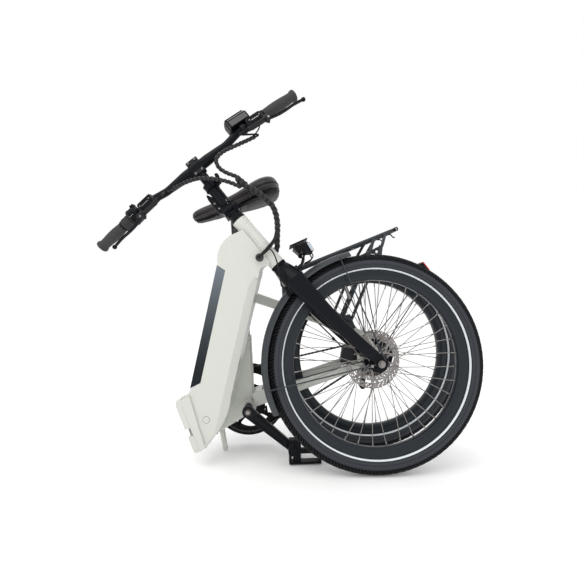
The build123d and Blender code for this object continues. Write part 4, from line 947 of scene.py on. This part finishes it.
rack_details()
reflector()
hose("rear_hose_loop_a", "rear_half", [(54, 87, 141), (57, 88, 168), (63, 88, 184), (62.5, 88, 193),
    (55, 88, 196), (48.5, 88, 190), (46, 86, 174), (46, 80, 158)], 2.0)
hose("rear_hose_loop_b", "rear_half", [(41, 78, 160), (41, 84, 172), (34, 86, 178), (24, 86, 176),
    (20, 82, 164), (25, 76, 150)], 2.0)

# ---------------------------------------------------------------- drive


def drive():
    """Caps and screws of the cranks, and the ribs on their faces."""
    caps = Piece("crank_caps", "cranks", "dark_steel")
    for side in (1, -1):
        caps.rod((BB_X, side * 95, BB_Z), (BB_X, side * 98, BB_Z), 12, 11, sides=32)
    caps.done(smooth=30)
    heads = Piece("crank_screws", "cranks", "steel")
    for side in BOTH:
        bolt(heads, (BB_X, side * 98, BB_Z), (0, side, 0), 6.4, 3.0)
        heads.rod((BB_X, side * 99, BB_Z), (BB_X, side * 101.2, BB_Z), 3.2, sides=6)
    heads.done()
    ribs = Piece("crank_faces", "cranks", "plastic")
    for side in BOTH:
        angle = radians(-120 if side > 0 else 60)
        line, across = Vector((cos(angle), 0, sin(angle))), Vector((-sin(angle), 0, cos(angle)))
        middle = Vector((BB_X, side * 95.4, BB_Z))
        for offset in (9, -9):
            ribs.rod(middle + line * 26 + across * offset, middle + line * 140 + across * offset * 0.72, 1.7,
                sides=8)
    ribs.done(smooth=60)


def caliper_details():
    """Fins, piston cap and screws of the rear caliper, and the cable guide by the bottom bracket."""
    base = shifted(REAR, (0, 0, 0), -24, "Y")
    fins = Piece("rear_caliper_fins", "rear_half", "alloy", base)
    for index in range(5):
        fins.block((78, 67, -14 + 7 * index), (24, 3, 3))
    fins.lathe([(0.1, 62), (8.6, 62), (8.6, 68.4), (7.4, 69.4), (0.1, 69.4)], 32, (70, 0, 0), "Y")
    fins.rod((64, 60, 22), (62, 62, 34), 4.4, 3.4, sides=16)
    fins.done(bevel=0.6, smooth=40)
    screws("rear_caliper_screws", "rear_half", "steel", base,
        *(((90, 64, z), (0, 1, 0), 3.4, 4.2) for z in (-18, 18)))
    guide = Piece("cable_guide", "rear_half", "plastic")
    guide.block((379, 29, -40), (11, 8, 24), -12)
    guide.block((377, 31, -54), (16, 9, 8), -12)
    guide.done(bevel=1.2)
    screws("cable_guide_screw", "rear_half", "steel", REAR, ((380, 33, -36), (0, 1, 0), 3.2, 2.4))


def chain_links():
    """Rollers and side plates every half inch round the chain's loop."""
    half_inch, chain_y, big, small = 12.7, -54, 105.0, 34.0
    spacing, tilt = hypot(BB_X, BB_Z), atan2(BB_Z, BB_X)
    up = radians(90) + (big - small) / spacing
    run = (spacing ** 2 - (big - small) ** 2) ** 0.5
    total = 2 * run + big * 2 * up + small * (2 * pi - 2 * up)
    count = int(total / half_inch) // 2 * 2

    def on(radius, angle, x=0.0):
        """Point on one of the two sprockets' circles."""
        return Vector((x + radius * cos(angle), 0, radius * sin(angle)))

    def spot(distance):
        """Point on the loop's centreline."""
        distance %= total
        if distance < run:
            return on(small, up).lerp(on(big, up, spacing), distance / run)
        distance -= run
        if distance < big * 2 * up:
            return on(big, up - distance / big, spacing)
        distance -= big * 2 * up
        if distance < run:
            return on(big, -up, spacing).lerp(on(small, -up), distance / run)
        return on(small, -up - (distance - run) / small)

    base = REAR @ Matrix.Translation((0, chain_y * MM, 0)) @ Matrix.Rotation(-tilt, 4, "Y")
    links = Piece("chain_links", "rear_half", "dark_steel", base)
    top = ((-8.6, 0.9), (-6.3, 3.3), (-2, 2.4), (2, 2.4), (6.3, 3.3), (8.6, 0.9))
    outline = top + tuple((-reach, -high) for reach, high in top)
    for index in range(count):
        a, b = spot(total * index / count), spot(total * (index + 1) / count)
        middle, along = (a + b) / 2, (b - a).normalized()
        across = Vector((-along.z, 0, along.x))
        for side in BOTH:
            y = side * (2.2 if index % 2 else 3.1)
            links.put([middle + along * reach + across * high + Vector((0, y + depth, 0))
                       for depth in (0, side * 0.8) for reach, high in outline], skin(2, len(outline)))
        for half, radius, sides in ((2.2, 3.7, 10), (4.2, 1.5, 8)):
            links.rod(a - Vector((0, half, 0)), a + Vector((0, half, 0)), radius, sides=sides)
    links.done(smooth=35, stands_for=("chain",))


drive()
caliper_details()
chain_links()

# ---------------------------------------------------------------- stage and camera


def stage():
    """White floor that keeps the shadow, an even white sky and one broad soft lamp."""
    size = 40
    mesh = bpy.data.meshes.new("floor")
    mesh.from_pydata([(-size, -size, 0), (size, -size, 0), (size, size, 0), (-size, size, 0)], [],
        [(0, 1, 2, 3)])
    floor = bpy.data.objects.new("floor", mesh)
    bpy.context.scene.collection.objects.link(floor)
    material = bpy.data.materials.new("floor")
    material.use_nodes = True
    tune(material.node_tree.nodes["Principled BSDF"], {"Base Color": WHITE, "Emission Color": WHITE,
         "Emission Strength": 0.08, "Roughness": 1.0, "Specular IOR Level": 0.0})
    mesh.materials.append(material)
    world = bpy.data.worlds.new("sky")
    bpy.context.scene.world = world
    world.use_nodes = True
    tree = world.node_tree
    link = tree.links.new
    sky = tree.nodes["Background"]
    tune(sky, {"Color": WHITE})
    where, split = add(tree, "TexCoord"), add(tree, "SeparateXYZ")
    bright = add(tree, "MapRange", {"From Min": -0.1, "From Max": 0.8, "To Min": 0.62, "To Max": 1.12})
    link(where.outputs["Generated"], split.inputs["Vector"])
    link(split.outputs["Z"], bright.inputs["Value"])
    link(bright.outputs["Result"], sky.inputs["Strength"])
    seen = add(tree, "Background", {"Color": WHITE})
    path = add(tree, "LightPath")
    seen_by = path.outputs["Is Camera Ray"]
    for kind in ("Is Glossy Ray", "Is Transmission Ray"):
        either = add(tree, "Math", operation="MAXIMUM")
        link(seen_by, either.inputs[0])
        link(path.outputs[kind], either.inputs[1])
        seen_by = either.outputs["Value"]
    mix = add(tree, "MixShader")
    link(seen_by, mix.inputs["Fac"])
    link(sky.outputs["Background"], mix.inputs[1])
    link(seen.outputs["Background"], mix.inputs[2])
    link(mix.outputs["Shader"], tree.nodes["World Output"].inputs["Surface"])
    lamp = bpy.data.lights.new("soft_lamp", "AREA")
    lamp.shape = "RECTANGLE"
    lamp.size, lamp.size_y = 3.0, 2.0
    lamp.energy = 34
    lamp.color = (1, 0.99, 0.97)
    holder = bpy.data.objects.new("soft_lamp", lamp)
    holder.location = (-0.9, -1.6, 3.0)
    holder.rotation_euler = Vector((0.9, 1.6, -2.5)).to_track_quat("-Z", "Y").to_euler()
    bpy.context.scene.collection.objects.link(holder)
    bpy.context.scene.view_settings.view_transform = "Standard"


def camera():
    """Eye level with the middle of the folded bicycle, a little over a metre off."""
    data = bpy.data.cameras.new("camera")
    data.sensor_width = 36
    data.lens = 23.449
    eye = bpy.data.objects.new("camera", data)
    eye.location = (-0.08639, -1.17366, 0.47518)
    eye.rotation_euler = (radians(90 + 1.4924), 0, radians(-4.4623))
    bpy.context.scene.collection.objects.link(eye)
    bpy.context.scene.camera = eye


stage()
camera()
